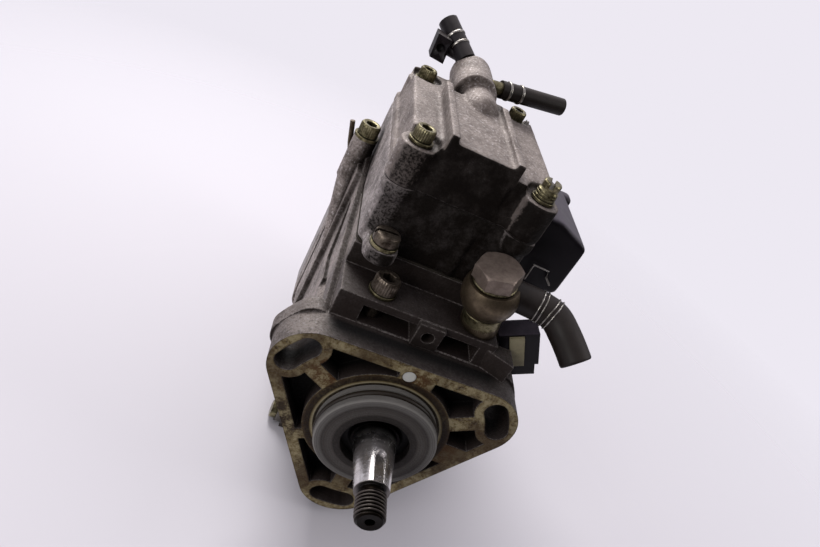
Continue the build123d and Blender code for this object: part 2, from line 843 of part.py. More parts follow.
def governor_housing():
    body = prism_z(governor_plan(), gasket_z + gasket_t, cover_split_z)
    for x, y in ear_points:
        body += rod_z(ear_r, cover_split_z - ear_drop, cover_split_z, x, y)
        body += Pos(x, y, cover_split_z - ear_drop - ear_r / 2) * Cone(ear_r / 2, ear_r, ear_r)
    inner = rounded(governor_left_x + governor_wall, governor_right_x - governor_wall,
                    governor_front_y + governor_wall, governor_back_y - governor_wall, 4)
    floor_z = gasket_z + 4
    body -= prism_z(inner, floor_z, cover_split_z + 1)
    outside = prism_z(governor_plan(), floor_z, cover_split_z)
    for x, y in ear_points:
        body += rod_z(cap_shank_r + 2.4, floor_z, cover_split_z, x, y) & outside
    window = rounded(-24, 20, collar_y - 8, governor_back_y - governor_wall, 3)
    body -= prism_z(window, gasket_z, floor_z + 1)
    # front foot with the slotted screw, and the rib down the front wall
    foot_x, foot_y = foot_screw_at()
    body += rod_z(washer_r + 1, gasket_z + gasket_t, foot_z(), foot_x, foot_y)
    body += block(foot_x - washer_r - 1, foot_x + washer_r + 1, foot_y, governor_front_y + 3,
                  gasket_z + gasket_t, foot_z())
    body += block(front_rib_x, front_rib_x + front_rib_width, governor_front_y - 1.5, governor_front_y + 1,
                  gasket_z + gasket_t, cover_split_z - 8)
    for x, y in ear_points:
        body -= rod_z(cap_shank_r, cover_split_z - 12, cover_split_z + 1, x, y)
    return body - rod_z(cap_shank_r, gasket_z - 1, foot_z() + 1, foot_x, foot_y)


def foot_screw_at():
    return governor_left_x + washer_r + 3.4, governor_front_y - washer_r - 0.4


def foot_z():
    return gasket_z + 7.0


def housing_gasket():
    """Gasket between pump housing and governor housing."""
    seat = rounded(side_left_x, governor_right_x, governor_front_y, housing_len, 5)
    seat -= rounded(-24, 22, collar_y - 8, housing_len - 5, 3)
    return prism_z(seat, gasket_z, gasket_z + gasket_t)


def top_cover():
    """Drafted cover with four screw ears, two ridges, a raised panel and the outlet boss."""
    rim = prism_z(cover_ears(), cover_split_z, cover_split_z + cover_rim_t)
    dome_plan = Sketch() + governor_plan(-1.0)
    body = rim + extrude(Pos(0, 0, cover_split_z) * dome_plan, amount=cover_top_z - cover_split_z,
                         taper=cover_draft)
    for x, y in ear_points:
        body += rod_z(ear_r, cover_split_z, ear_top_z, x, y)
    body += block(*ridge_xs, governor_front_y + 0.6, ridge_back_y, cover_split_z, panel_z)
    for x in ridge_xs:
        body += block(x - ridge_width / 2, x + ridge_width / 2, ridge_front_y, ridge_back_y,
                      cover_top_z - 3, ridge_z)
    for x, y in ear_points:
        body -= rod_z(ear_r, ear_top_z, cover_top_z + 1, x, y)
    body += rod_y(outlet_r, outlet_front_y, outlet_back_y, outlet_x, outlet_z)
    body += rod_y(blister_r, blister_y, outlet_front_y, outlet_x + blister_shift, outlet_z - blister_shift)
    body += Pos(outlet_x + blister_shift, blister_y, outlet_z - blister_shift) * Sphere(blister_r)
    cavity = extrude(Pos(0, 0, cover_split_z) * (Sketch() + governor_plan(-1.0 - cover_wall)),
                     amount=cover_top_z - cover_split_z - cover_wall, taper=cover_draft)
    body -= cavity
    for x, y in ear_points:
        body += rod_z(cap_shank_r + 2.4, cover_split_z, ear_top_z - 1, x, y)
        body -= rod_z(cap_shank_r, cover_split_z - 1, ear_top_z + 1, x, y)
    return body


# ---------------------------------------------------------------------------
# screws
def cap_screw(x, y, seat_z, shank):
    """Hexagon socket cap screw standing on its washer at seat_z."""
    head_z = seat_z + washer_t
    body = rod_z(cap_head_r, head_z, head_z + cap_head_h, x, y)
    body += rod_z(cap_shank_r, seat_z - shank, head_z, x, y)
    socket = Pos(x, y, head_z + cap_head_h / 2) * extrude(RegularPolygon(cap_socket_r, 6), cap_head_h)
    return body - socket


def washer(x, y, seat_z):
    return rod_z(washer_r, seat_z, seat_z + washer_t, x, y) - rod_z(cap_shank_r, seat_z - 1, seat_z + 4, x, y)


def slotted_screw(x, y, seat_z, shank):
    head_z = seat_z + washer_t
    body = rod_z(cap_head_r + 0.4, head_z, head_z + 4.6, x, y)
    body += rod_z(cap_shank_r, seat_z - shank, head_z, x, y)
    return body - block(x - 8, x + 8, y - 0.9, y + 0.9, head_z + 2.4, head_z + 6)


def shear_screw(x, y, seat_z, shank):
    """Tamper-resisting screw, left with a round stub and a sawn slot."""
    head_z = seat_z + washer_t
    body = rod_z(cap_head_r, head_z, head_z + 4.0, x, y) + rod_z(3.4, head_z, head_z + 8.0, x, y)
    body += rod_z(cap_shank_r, seat_z - shank, head_z, x, y)
    return body - block(x - 5, x + 5, y - 0.8, y + 0.8, head_z + 5.2, head_z + 9)


def shelf_screw_at():
    return shelf_screw


def cap_screws():
    """Socket cap screws: three in the cover, one in the shelf and one in the bolt column."""
    depth = ear_top_z - cover_split_z + ear_screw_grip
    screws = [cap_screw(x, y, ear_top_z, depth) for i, (x, y) in enumerate(ear_points) if i != shear_ear]
    screws.append(cap_screw(*shelf_screw_at(), shelf_z, 0.0))
    return screws + [cap_screw(column_x, column_y, column_top_z, 0.0)]


def cover_shear_screw():
    return shear_screw(*ear_points[shear_ear], ear_top_z, ear_top_z - cover_split_z + ear_screw_grip)


def foot_screw():
    return slotted_screw(*foot_screw_at(), foot_z(), foot_z() - gasket_z)


def washers():
    seats = [(x, y, ear_top_z) for x, y in ear_points]
    seats += [(*shelf_screw_at(), shelf_z), (*foot_screw_at(), foot_z()), (column_x, column_y, column_top_z)]
    return [washer(*seat) for seat in seats]


# ---------------------------------------------------------------------------
# fuel inlet
def at_inlet(shape):
    return Pos(*inlet_base) * Rot(inlet_lean_x, inlet_lean_y, 0) * shape


def inlet_seat():
    """Turned seat that the banjo is clamped on, sunk a little into the shelf."""
    body = Cylinder(seat_r, seat_h, align=(Align.CENTER, Align.CENTER, Align.MIN))
    return at_inlet(body) - block(0, 45, 0, 45, shelf_z - 10, shelf_z)


def banjo_base_z():
    return seat_h + banjo_washer_t


def banjo_washers():
    rings = []
    for z in (seat_h, banjo_base_z() + banjo_h):
        ring = Pos(0, 0, z) * (Cylinder(seat_r - 0.6, banjo_washer_t, align=(Align.CENTER, Align.CENTER, Align.MIN))
                               - Cylinder(hex_across / 4, 9))
        rings.append(at_inlet(ring))
    return rings


def banjo_eye():
    """Ball-shaped eye with the hose stub standing out to the right."""
    mid = banjo_base_z() + banjo_h / 2
    ball = Pos(0, 0, mid) * (Sphere(banjo_r) & Box(4 * banjo_r, 4 * banjo_r, banjo_h))
    stub = Pos(0, 0, mid) * rod_x(stub_r, 0, stub_len)
    bore = Pos(0, 0, mid) * (Cylinder(hex_across / 4 + 0.8, banjo_h + 2) + rod_x(stub_r - 1.4, 0, stub_len + 1))
    return at_inlet(ball + stub - bore)


def banjo_bolt():
    z = banjo_base_z() + banjo_h + banjo_washer_t
    head = Pos(0, 0, z) * extrude(RegularPolygon(hex_across / 2, 6, major_radius=False), hex_h)
    crown = Pos(0, 0, z + hex_h / 2) * Cone(hex_across / 2 + 6, hex_across / 2 - 0.6, hex_h)
    shank = Pos(0, 0, seat_h) * Cylinder(hex_across / 4, z - seat_h, align=(Align.CENTER, Align.CENTER, Align.MIN))
    return at_inlet((head & crown) + shank)


def inlet_hose_path():
    mid = banjo_base_z() + banjo_h / 2
    start = Vector(banjo_r, 0, mid)
    corner = start + Vector(inlet_hose_run - banjo_r, 0, 0)
    inlet = Location(inlet_base, (inlet_lean_x, inlet_lean_y, 0))
    a, b = ((inlet * Location(p)).position for p in (start, corner))
    c = b + Vector(6.0, -22.0, -9.5).normalized() * inlet_hose_drop
    return a, b, c


def inlet_hose():
    """Hose with one bend, bored for the stub at one end and open at the other."""
    a, b, c = inlet_hose_path()
    inward, outward = (b - a).normalized(), (b - c).normalized()
    body = sweep(Plane(origin=a, z_dir=inward) * Circle(inlet_hose_r),
                 FilletPolyline(a, b, c, radius=inlet_hose_bend_r))
    body -= along_axis((a, inward), Circle(stub_r), -1, stub_len - banjo_r + 1.5)
    return body - along_axis((c, outward), Circle(stub_r), -1, inlet_mouth_depth + 1)


def hose_clip(axis, r, along, width):
    """Spring clip drawn as a plain band round a hose."""
    return along_axis(axis, Circle(r + clip_wire) - Circle(r), along, width)


def inlet_clips():
    a, b, _ = inlet_hose_path()
    axis = (a, (b - a).normalized())
    return [hose_clip(axis, inlet_hose_r, along, clip_width) for along in clip_places]


# ---------------------------------------------------------------------------
# return line
def return_axis():
    start = Vector(outlet_x + outlet_r, return_y, outlet_z + 6.0)
    return start, Vector(1, 0.28, 0.08).normalized()


def along_axis(axis, sketch, start, length):
    """Extrude a sketch along an (origin, direction) axis from start."""
    origin, direction = axis
    return extrude(Plane(origin=origin + direction * start, z_dir=direction) * (Sketch() + sketch), amount=length)


def return_nipple():
    """Steel nipple pressed into the side of the outlet boss."""
    body = along_axis(return_axis(), Circle(nipple_r), -6, 16)
    body -= rod_y(outlet_r, outlet_front_y, outlet_back_y, outlet_x, outlet_z)
    return body


def return_hose():
    return along_axis(return_axis(), Circle(return_hose_r) - Circle(nipple_r), nipple_show, return_hose_len)


def return_clips():
    """Narrow clips: two on the return hose and two on the tee."""
    clips = [hose_clip(return_axis(), return_hose_r, along, clip_width / 2) for along in return_clip_places]
    return clips + [hose_clip(tee_axis(), tee_r, along, clip_width / 2) for along in tee_clip_places]


# ---------------------------------------------------------------------------
# distributor head
def distributor_head():
    """Head with its spigot in the housing, plunger barrel, outlets and solenoid boss."""
    square = RectangleRounded(2 * head_half, 2 * head_half, rear_flange_r)
    body = prism_y(square, head_y, head_y + head_flange_t)
    body += rod_y(head_spigot_r() - slip_clear, head_y - spigot_len, head_y + 1)
    body += rod_y(head_r, head_y + head_flange_t - 1, holder_y)
    body += rod_z(solenoid_r + 1.5, 0, solenoid_seat_z(), 0, solenoid_y)
    body -= rod_y(plunger_r + running_clear, head_y - 6, head_y + barrel_depth)
    body -= rod_y(centre_plug_r - 2, head_y + barrel_depth - 1, holder_y + 1)
    for x, z in head_screw_points():
        body -= rod_y(cap_shank_r, head_y - 1, head_y + head_flange_t + 1, x, z)
    return body


def solenoid_seat_z():
    return head_r + 3.0


def valve_points():
    angles = [45 + i * 360 / lobe_count for i in range(lobe_count)]
    return [(outlet_pitch_r * cos(radians(a)), outlet_pitch_r * sin(radians(a))) for a in angles]


def delivery_valve_holders():
    """Hexagon-bodied holders, each with a nose for the pipe's union nut."""
    start = holder_y
    hex_end = start + valve_holder_len * 0.55
    end = start + valve_holder_len
    holders = []
    for x, z in valve_points():
        hexagon = Pos(x, z) * RegularPolygon(valve_holder_r, 6, major_radius=False)
        body = prism_y(hexagon, start, hex_end) + rod_y(valve_nose_r, hex_end, end, x, z)
        holders.append(body - rod_y(valve_bore_r, end - 12, end + 1, x, z))
    return holders


def centre_plug():
    start = holder_y
    body = rod_y(centre_plug_r - 2, head_y + barrel_depth, start)
    body += prism_y(RegularPolygon(centre_plug_r, 6, major_radius=False), start, start + 6)
    return body - rod_y(2.5, start + 2, start + 7)


def head_screws():
    screws = []
    for x, z in head_screw_points():
        y = head_y + head_flange_t
        body = rod_y(cap_head_r, y, y + cap_head_h, x, z)
        screws.append(body + rod_y(cap_shank_r, head_y - rear_flange_t + 2, y, x, z))
    return screws


def shutdown_solenoid():
    """Screw-in solenoid on the head, hollow for its armature."""
    z = solenoid_seat_z()
    body = Pos(0, solenoid_y, z) * extrude(RegularPolygon(solenoid_r, 6, major_radius=False), 7)
    body += rod_z(solenoid_r - 0.8, z + 7, z + solenoid_len - 6, 0, solenoid_y)
    body += rod_z(4.0, z + solenoid_len - 6, z + solenoid_len, 0, solenoid_y)
    body -= rod_z(armature_r + running_clear, z + 2, z + 2 + armature_len + armature_stroke + part_clear,
                  0, solenoid_y)
    return body


def solenoid_armature():
    z = solenoid_seat_z() + 2 + part_clear / 2
    body = rod_z(armature_r, z, z + armature_len, 0, solenoid_y)
    return body - rod_z(2.0, z - 1, z + 4, 0, solenoid_y)


def timing_solenoid():
    """Solenoid valve beside the timing bore, lying along the pump."""
    x, y, z = valve_x(), valve_face_y(), valve_z()
    body = rod_y(valve_thread_r - slip_clear, y - 5, y, x, z)
    body += prism_y(Pos(x, z) * RegularPolygon(valve_body_r - 1, 6, major_radius=False), y, y + 5)
    barrel = rod_y(valve_body_r, y + 5, housing_len - rear_flange_t - valve_gap, x, z)
    return body + chamfer(barrel.edges().group_by(Axis.Y)[-1], 1.5)


def pressure_valve():
    """Supply pressure regulating valve screwed into the right of the housing."""
    y, z = pressure_valve_at()
    x = barrel_r + 2
    body = rod_x(valve_thread_r, barrel_r - 4, x, y, z)
    body += prism_x(Pos(y, z) * RegularPolygon(valve_thread_r + 0.8, 6, major_radius=False), x, x + 5)
    return body + rod_x(5.5, x + 5, x + 10, y, z)


# ---------------------------------------------------------------------------
# return tee
def tee_axis():
    start = Vector(outlet_x - 5.0, outlet_back_y, outlet_z + outlet_r - 4.5)
    return start, Vector(-0.62, 0.66, 0.42).normalized()


def return_tee():
    """Moulded tee: banded tube running back and to the left, with a side block and its port."""
    tube = along_axis(tee_axis(), Circle(tee_r), 0, tee_len)
    tube -= rod_y(outlet_r, outlet_front_y, outlet_back_y, outlet_x, outlet_z)
    w, d, h = tee_block
    origin, direction = tee_axis()
    x, y, z = origin + direction * (tee_len * 0.3) + Vector(-tee_r - w / 2 - 1.0, -1, -4)
    relief = along_axis(tee_axis(), Circle(tee_r + clip_wire + part_clear), tee_clip_places[0] - 1, tee_len)
    tube += Pos(x, y, z) * Box(w, d, h) - relief + rod_x(2.6, x, x + tee_r + w / 2, y, z)
    tube -= rod_y(2.6, y - d / 2 - 1, y, x, z)
    return tube - along_axis(tee_axis(), Circle(tee_r - 2.0), tee_len - 10, 11)


# ---------------------------------------------------------------------------
# electrical pieces
def control_module():
    """Moulded box on the right of the governor housing, with a falling top."""
    (x0, x1), (y0, y1), (z0, z1) = module_x, module_y, module_z
    shape = make_face(Polyline((x0, z0), (x1, z0 + 3), (x1, z1 - module_drop), (x0 + 9, z1), (x0, z1), close=True))
    body = prism_y(shape, y0, y1)
    return fillet(body.edges().filter_by(Axis.Y).sort_by(Axis.X)[-2:], 3.0)


def at_plug(shape):
    """Place a piece drawn upright at the leaning plug on the right of the shelf."""
    return Pos(plug_at[0], plug_at[1], plug_at[2]) * Rot(0, -plug_lean, 0) * shape


def harness_plug():
    """Two-step plug body: the mating shell above, the narrower wire end below."""
    w, d, h = plug_size
    body = Box(w, d, h)
    body -= Pos(w / 2, 0, -h / 2) * Box(2 * plug_step, d + 2, h / 2)
    return at_plug(body)


def plug_lock():
    w, d, h = plug_size
    return at_plug(Pos(-1, -d / 2 - lock_size[1] / 2, h / 8) * Box(*lock_size))


def plug_bracket():
    """Bent steel strap behind the plug, standing on the right wall of the housing."""
    y0 = plug_at[1] + plug_size[1] / 2
    body = block(side_right_x, plug_at[0] + 4, y0, y0 + bracket_t, plug_at[2] - 8, plug_at[2])
    return body + block(side_right_x, side_right_x + bracket_t, y0, y0 + 12, plug_at[2] - 8, plug_at[2])


def build_all():
    makers = [
        pump_housing, shaft_bush, shaft_seal, pilot_o_ring, gallery_plug, drive_shaft, cross_disc,
        supply_rotor, supply_vanes, supply_ring, supply_plate, plate_screws, roller_ring, roller_pins,
        timing_piston, timing_spring, timing_covers, timing_cover_screws, cam_plate, plunger, spring_bridge,
        return_springs, control_collar, actuator_rotor, actuator_stator, governor_housing, housing_gasket,
        top_cover, cap_screws, cover_shear_screw, foot_screw, washers, inlet_seat, banjo_washers, banjo_eye,
        banjo_bolt, inlet_hose, inlet_clips, return_nipple, return_hose, return_clips, return_tee,
        distributor_head, delivery_valve_holders, centre_plug, head_screws, shutdown_solenoid,
        solenoid_armature, timing_solenoid, pressure_valve, control_module, harness_plug, plug_lock,
        plug_bracket,
    ]
    pieces = {maker.__name__: maker() for maker in makers}
    pieces.update({f"roller_{i + 1}": roller(i) for i in range(lobe_count)})
    return pieces


def save(name, shape):
    if isinstance(shape, list):
        shape = Compound(children=shape)
    export_step(shape, f"parts/{name}.step")


if __name__ == "__main__":
    for name, shape in build_all().items():
        save(name, shape)
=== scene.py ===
import math

import bmesh
import bpy
from mathutils import Matrix, Vector


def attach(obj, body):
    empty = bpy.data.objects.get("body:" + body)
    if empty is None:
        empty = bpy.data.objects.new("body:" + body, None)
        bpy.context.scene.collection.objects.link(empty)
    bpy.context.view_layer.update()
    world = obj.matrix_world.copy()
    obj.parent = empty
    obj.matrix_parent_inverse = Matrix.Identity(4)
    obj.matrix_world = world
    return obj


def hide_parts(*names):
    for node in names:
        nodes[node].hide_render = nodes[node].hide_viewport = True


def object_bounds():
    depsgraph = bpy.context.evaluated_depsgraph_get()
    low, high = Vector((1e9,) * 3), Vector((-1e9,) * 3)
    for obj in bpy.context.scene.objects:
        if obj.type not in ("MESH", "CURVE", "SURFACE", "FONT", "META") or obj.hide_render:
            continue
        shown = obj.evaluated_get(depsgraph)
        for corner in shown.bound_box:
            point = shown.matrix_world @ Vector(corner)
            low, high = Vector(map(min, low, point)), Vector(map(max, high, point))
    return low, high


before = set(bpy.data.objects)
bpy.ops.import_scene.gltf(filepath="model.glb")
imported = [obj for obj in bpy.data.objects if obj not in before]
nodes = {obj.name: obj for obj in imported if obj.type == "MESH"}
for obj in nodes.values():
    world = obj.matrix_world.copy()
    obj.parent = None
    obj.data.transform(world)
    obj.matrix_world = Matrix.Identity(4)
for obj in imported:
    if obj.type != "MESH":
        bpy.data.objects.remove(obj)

cadBox = [[float(v) for v in corner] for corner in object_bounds()]
mm = 0.001
print("frame loaded:", len(nodes), "nodes")


# small helpers for meshes and shader trees
def toLinear(hexText):
    channels = [int(hexText[i:i + 2], 16) / 255 for i in (1, 3, 5)]
    return (*(c / 12.92 if c <= 0.04045 else ((c + 0.055) / 1.055) ** 2.4 for c in channels), 1.0)


def setAll(thing, settings):
    for key, value in settings.items():
        setattr(thing, key, value)


def setInputs(tree, node, inputs):
    # a node given as a value stands for its first live output, and a text is a colour
    for key, value in inputs.items():
        if isinstance(value, bpy.types.Node):
            value = next(socket for socket in value.outputs if socket.enabled)
        if isinstance(value, bpy.types.NodeSocket):
            tree.links.new(value, node.inputs[key])
        else:
            node.inputs[key].default_value = toLinear(value) if isinstance(value, str) else value


def addNode(tree, kind, inputs=None, **settings):
    # a bare kind is a shader node, and every Mix blends colours
    node = tree.nodes.new(kind if "Node" in kind else "ShaderNode" + kind)
    setAll(node, {"data_type": "RGBA", **settings} if kind == "Mix" else settings)
    setInputs(tree, node, inputs or {})
    return node


def startFinish(name):
    # an empty material with its shader, and Object coordinates turned to millimetres
    finish = bpy.data.materials.new(name)
    finish.use_nodes = True
    tree = finish.node_tree
    tree.nodes.clear()
    shader = addNode(tree, "BsdfPrincipled")
    addNode(tree, "OutputMaterial", {"Surface": shader})
    coords = addNode(tree, "TexCoord").outputs["Object"]
    scaled = addNode(tree, "VectorMath", {0: coords, 1: (1000, 1000, 1000)}, operation="MULTIPLY")
    return finish, tree, shader, scaled


def linkNew(name, data):
    thing = bpy.data.objects.new(name, data)
    bpy.context.collection.objects.link(thing)
    return thing


def finishMesh(name, bm, smoothAngle=35):
    bmesh.ops.recalc_face_normals(bm, faces=bm.faces)
    mesh = bpy.data.meshes.new(name)
    bm.to_mesh(mesh)
    bm.free()
    for face in mesh.polygons:
        face.use_smooth = True
    mesh.set_sharp_from_angle(angle=math.radians(smoothAngle))
    return linkNew(name, mesh)


def axisFrame(direction):
    # turns +Z onto the direction
    return Vector((0, 0, 1)).rotation_difference(Vector(direction)).to_matrix().to_4x4()


def joinRings(bm, rings, closeEnds=False):
    # faces between each ring and the next
    for a, b in zip(rings, rings[1:]):
        for j in range(len(a)):
            k = (j + 1) % len(a)
            bm.faces.new((a[j], a[k], b[k], b[j]))
    if closeEnds:
        bm.faces.new(rings[0][::-1])
        bm.faces.new(rings[-1])


def ringOf(bm, place, height, radiusAt, cols):
    # a ring round +Z of the place, with a radius for each angle
    return [bm.verts.new(place @ Vector((radiusAt(a) * math.cos(a), radiusAt(a) * math.sin(a), height)) * mm)
            for a in (2 * math.pi * j / cols for j in range(cols))]


def hexRadius(corner, angle):
    sector = (angle % (math.pi / 3)) - math.pi / 6
    return corner * math.cos(math.pi / 6) / math.cos(sector)


def latheMesh(bm, profile, place, cols=48, knurl=None, closeEnds=False):
    # profile is (radius, height) pairs in millimetres; knurl is (count, depth, lowest, highest)
    rings = []
    for radius, height in profile:
        count, depth = knurl[:2] if knurl and knurl[2] <= height <= knurl[3] else (0, 0)
        rings.append(ringOf(bm, place, height, lambda a: radius - depth * (0.5 + 0.5 * math.cos(count * a)), cols))
    joinRings(bm, rings, closeEnds)
    return rings


def addModifier(piece, kind, **settings):
    modifier = piece.modifiers.new(kind.lower(), kind)
    setAll(modifier, settings)
    return modifier


def bakeModifiers(piece):
    bpy.context.view_layer.update()
    graph = bpy.context.evaluated_depsgraph_get()
    baked = bpy.data.meshes.new_from_object(piece.evaluated_get(graph))
    piece.modifiers.clear()
    piece.data = baked


def addBlock(bm, place, size):
    bmesh.ops.create_cube(bm, size=1.0, matrix=place @ Matrix.Diagonal((*(v * mm for v in size), 1)))


def cutAway(piece, cutter, smoothAngle):
    addModifier(piece, "BOOLEAN", object=cutter, solver="EXACT")
    bakeModifiers(piece)
    bpy.data.objects.remove(cutter)
    piece.data.set_sharp_from_angle(angle=math.radians(smoothAngle))
    return piece


def placePiece(piece, finish, slotName, *replaced, body="housing"):
    piece.data.materials.clear()
    piece.data.materials.append(finish)
    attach(piece, body)
    if replaced:
        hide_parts(*replaced)
    return piece


# finishes
def paintStops(tree, value, stops, farMm=1.0):
    # a colour ramp; stops are (position, colour), or (radius, colour) of a turned face out to farMm
    paint = addNode(tree, "ValToRGB", {0: value})
    ramp = paint.color_ramp
    ramp.elements.remove(ramp.elements[1])
    for k, (position, hexText) in enumerate(stops):
        stop = ramp.elements.new(position / farMm) if k else ramp.elements[0]
        stop.position = position / farMm
        stop.color = toLinear(hexText)
    return paint


# how wide the patches of each uneven film are, in millimetres
patchMm = {"castDust": 12.5, "driedFuel": 4.545, "fuelRuns": 22.22, "toolRings": 0.769, "handling": 3.333,
           "settledDust": 8.333}


sandCastLooks = {
    # light and dark are the dusty skin and its stained parts; the grime colour is oil film and painted shade, which
    # the front holds as far back as frontEnd and loses left of cornerMm; shade is the range of occlusion where oil
    # and painted shade darken the corners
    "pumpCasting": {"light": "#938984", "dark": "#433A34", "grimeAndShade": "#120D09", "grainMm": 1.1, "grainDepth": 0.40,
                    "frontFilmAndShade": 0.85, "frontEnd": 60.0, "specks": 0.6, "cornerMm": -200.0, "shade": (0.90, 0.48)},
    "governorCasting": {"light": "#A09795", "dark": "#4A4340", "grimeAndShade": "#110C08", "grainMm": 1.0,
                        "grainDepth": 0.60, "frontFilmAndShade": 1.0, "frontEnd": 60.0, "specks": 0.6, "cornerMm": -30.0,
                        "shade": (0.76, 0.34)},
    "coverCasting": {"light": "#867C77", "dark": "#5A504B", "grimeAndShade": "#100B08", "grainMm": 1.1, "grainDepth": 0.28,
                     "frontFilmAndShade": 1.0, "frontEnd": 40.0, "specks": 0.5, "cornerMm": -30.0, "shade": (0.76, 0.34)},
}
# the front of the pump body is darker, least so on its left side
frontDarkening = {"startY": 28.0, "endY": 44.0, "leftX": -40.0, "leftShare": 0.55, "strength": 0.84, "color": "#2B2422"}


def makeSandCast(name, look, stainFlange=False):
    # sand cast aluminium: grainy skin with specks of worn grain and painted glint, oil film and painted shade on the
    # front and in corners
    finish, tree, shader, coords = startFinish(name)
    surface = addNode(tree, "NewGeometry")
    facing = addNode(tree, "SeparateXYZ", {0: surface.outputs["Normal"]})
    x, y, z = addNode(tree, "SeparateXYZ", {0: coords}).outputs
    grain = addNode(tree, "TexNoise", {"Vector": coords, "Scale": 1 / look["grainMm"], "Detail": 3.0,
                                       "Roughness": 0.75})
    cloud = addNode(tree, "TexNoise", {"Vector": coords, "Scale": 1 / patchMm["castDust"], "Detail": 10.0,
                                       "Roughness": 0.78})
    tone = paintStops(tree, cloud, ((0.38, look["dark"]), (0.57, look["light"])))
    # bright specks on the grain peaks: worn grains and painted glints
    speckMask = addNode(tree, "MapRange", {0: grain, 1: 0.57, 2: 0.68, 4: look["specks"]})
    wornAndGlint = addNode(tree, "Mix", {0: speckMask, 6: tone, 7: "#D8D2D4"})
    pitMask = addNode(tree, "MapRange", {0: grain, 1: 0.47, 2: 0.34, 4: 0.75})
    pitted = addNode(tree, "Mix", {0: pitMask, 6: wornAndGlint, 7: look["dark"]})
    # faces that look down or forward keep the oil film, partly painted shade of faces turned from the light; the
    # noise breaks its edge
    towardFront = addNode(tree, "Math", {0: facing.outputs[1], 1: -1.0}, operation="MULTIPLY")
    frontMask = addNode(tree, "MapRange", {0: towardFront, 1: 0.35, 2: 0.75})
    beforeEnd = addNode(tree, "MapRange", {0: y, 1: look["frontEnd"] + 3, 2: look["frontEnd"]})
    filmAndShadeStrength = addNode(tree, "MapRange", {0: cloud, 1: 0.70, 2: 0.45, 3: look["frontFilmAndShade"] - 0.10,
                                              4: look["frontFilmAndShade"]})
    # the film breaks up into specks where a front face turns, and towards the rubbed left corner
    broken = addNode(tree, "Math", {0: grain, 1: 1.6, 2: frontMask}, operation="MULTIPLY_ADD")
    rubbedAway = addNode(tree, "MapRange", {0: x, 1: look["cornerMm"], 2: look["cornerMm"] + 6, 3: 0.5, 4: 0.0})
    broken = addNode(tree, "Math", {0: broken, 1: rubbedAway}, operation="SUBTRACT")
    frontMask = addNode(tree, "MapRange", {0: broken, 1: 0.8, 2: 1.45})
    film = frontMask
    for share in (filmAndShadeStrength, beforeEnd):
        film = addNode(tree, "Math", {0: film, 1: share}, operation="MULTIPLY")
    # painted shade: occlusion darkens corners and recesses to the grime colour, along with the oil there
    shade = addNode(tree, "AmbientOcclusion", {"Distance": 0.014}, samples=6)
    corner = addNode(tree, "MapRange", {0: shade.outputs["AO"], 1: look["shade"][0], 2: look["shade"][1], 4: 0.96})
    dirtAndShade = addNode(tree, "Math", {0: film, 1: corner}, operation="MAXIMUM")
    color = addNode(tree, "Mix", {0: dirtAndShade, 6: pitted, 7: look["grimeAndShade"]})
    rough = addNode(tree, "MapRange", {0: grain, 1: 0.3, 2: 0.7, 3: 0.75, 4: 0.48})
    gloss = addNode(tree, "MapRange", {0: dirtAndShade, 1: 0.2, 2: 0.9, 3: 0.5, 4: 0.10})
    metal = addNode(tree, "MapRange", {0: dirtAndShade, 1: 0.0, 2: 0.7, 3: 0.35, 4: 0.0})
    rounded = addNode(tree, "Bevel", {"Radius": 0.9 * mm}, samples=4)
    turn = addNode(tree, "VectorMath", {0: rounded, 1: surface.outputs["Normal"]}, operation="DOT_PRODUCT")
    edge = addNode(tree, "MapRange", {0: turn, 1: 0.985, 2: 0.82, 4: 0.8})
    bare = addNode(tree, "MapRange", {0: grain, 1: 0.42, 2: 0.6, 3: 0.15, 4: 0.85})
    rubbed = addNode(tree, "Math", {0: edge, 1: bare}, operation="MULTIPLY")
    if stainFlange:
        # the body is darkened towards its front, less on its left side
        ahead = addNode(tree, "MapRange", {0: y, 1: frontDarkening["endY"], 2: frontDarkening["startY"], 4: frontDarkening["strength"]})
        inward = addNode(tree, "MapRange", {0: x, 1: frontDarkening["leftX"], 2: frontDarkening["leftX"] + 7, 3: frontDarkening["leftShare"]})
        darkenedFront = addNode(tree, "Math", {0: ahead, 1: inward}, operation="MULTIPLY")
        color = addNode(tree, "Mix", {0: darkenedFront, 6: color, 7: frontDarkening["color"]})
    color = addNode(tree, "Mix", {0: rubbed, 6: color, 7: "#A39B98"})
    if stainFlange:
        color = addFlangeStain(tree, coords, x, y, z, towardFront, grain, color, edge)
    bump = addNode(tree, "Bump", {"Height": grain, "Strength": 0.95, "Distance": look["grainDepth"] * mm,
                                  "Normal": rounded})
    setInputs(tree, shader, {"Base Color": color, "Roughness": rough, "Metallic": metal, "Specular IOR Level": gloss,
                             "Normal": bump})
    return finish


flangeStain = {
    "faceDepthMm": 1.2, "slotTopMm": 42.0,
    # the black of the cored areas starts behind the face, ends before the body and stays inside the rim
    "coreStartMm": 1.5, "coreDepthMm": 7.5, "coreEndMm": 12.0, "coreRadiusMm": 54.0,
    "coreStrength": 0.96,
    "cream": "#8D8263", "tan": "#625334", "rust": "#2B1C10", "core": "#0C0A09",
    # where fuel stood: place, reach and colour
    "spots": (((27.0, 0, 0), 12.0, "#4E361B"), ((-28.5, 0, 21.5), 11.0, "#4A2F18"),
              ((-37.0, 0, -9.0), 15.0, "#2A2017"), ((30.0, 0, 9.0), 7.0, "#3A2614"),
              ((4.0, 0, 31.0), 8.0, "#4A3018")),
}


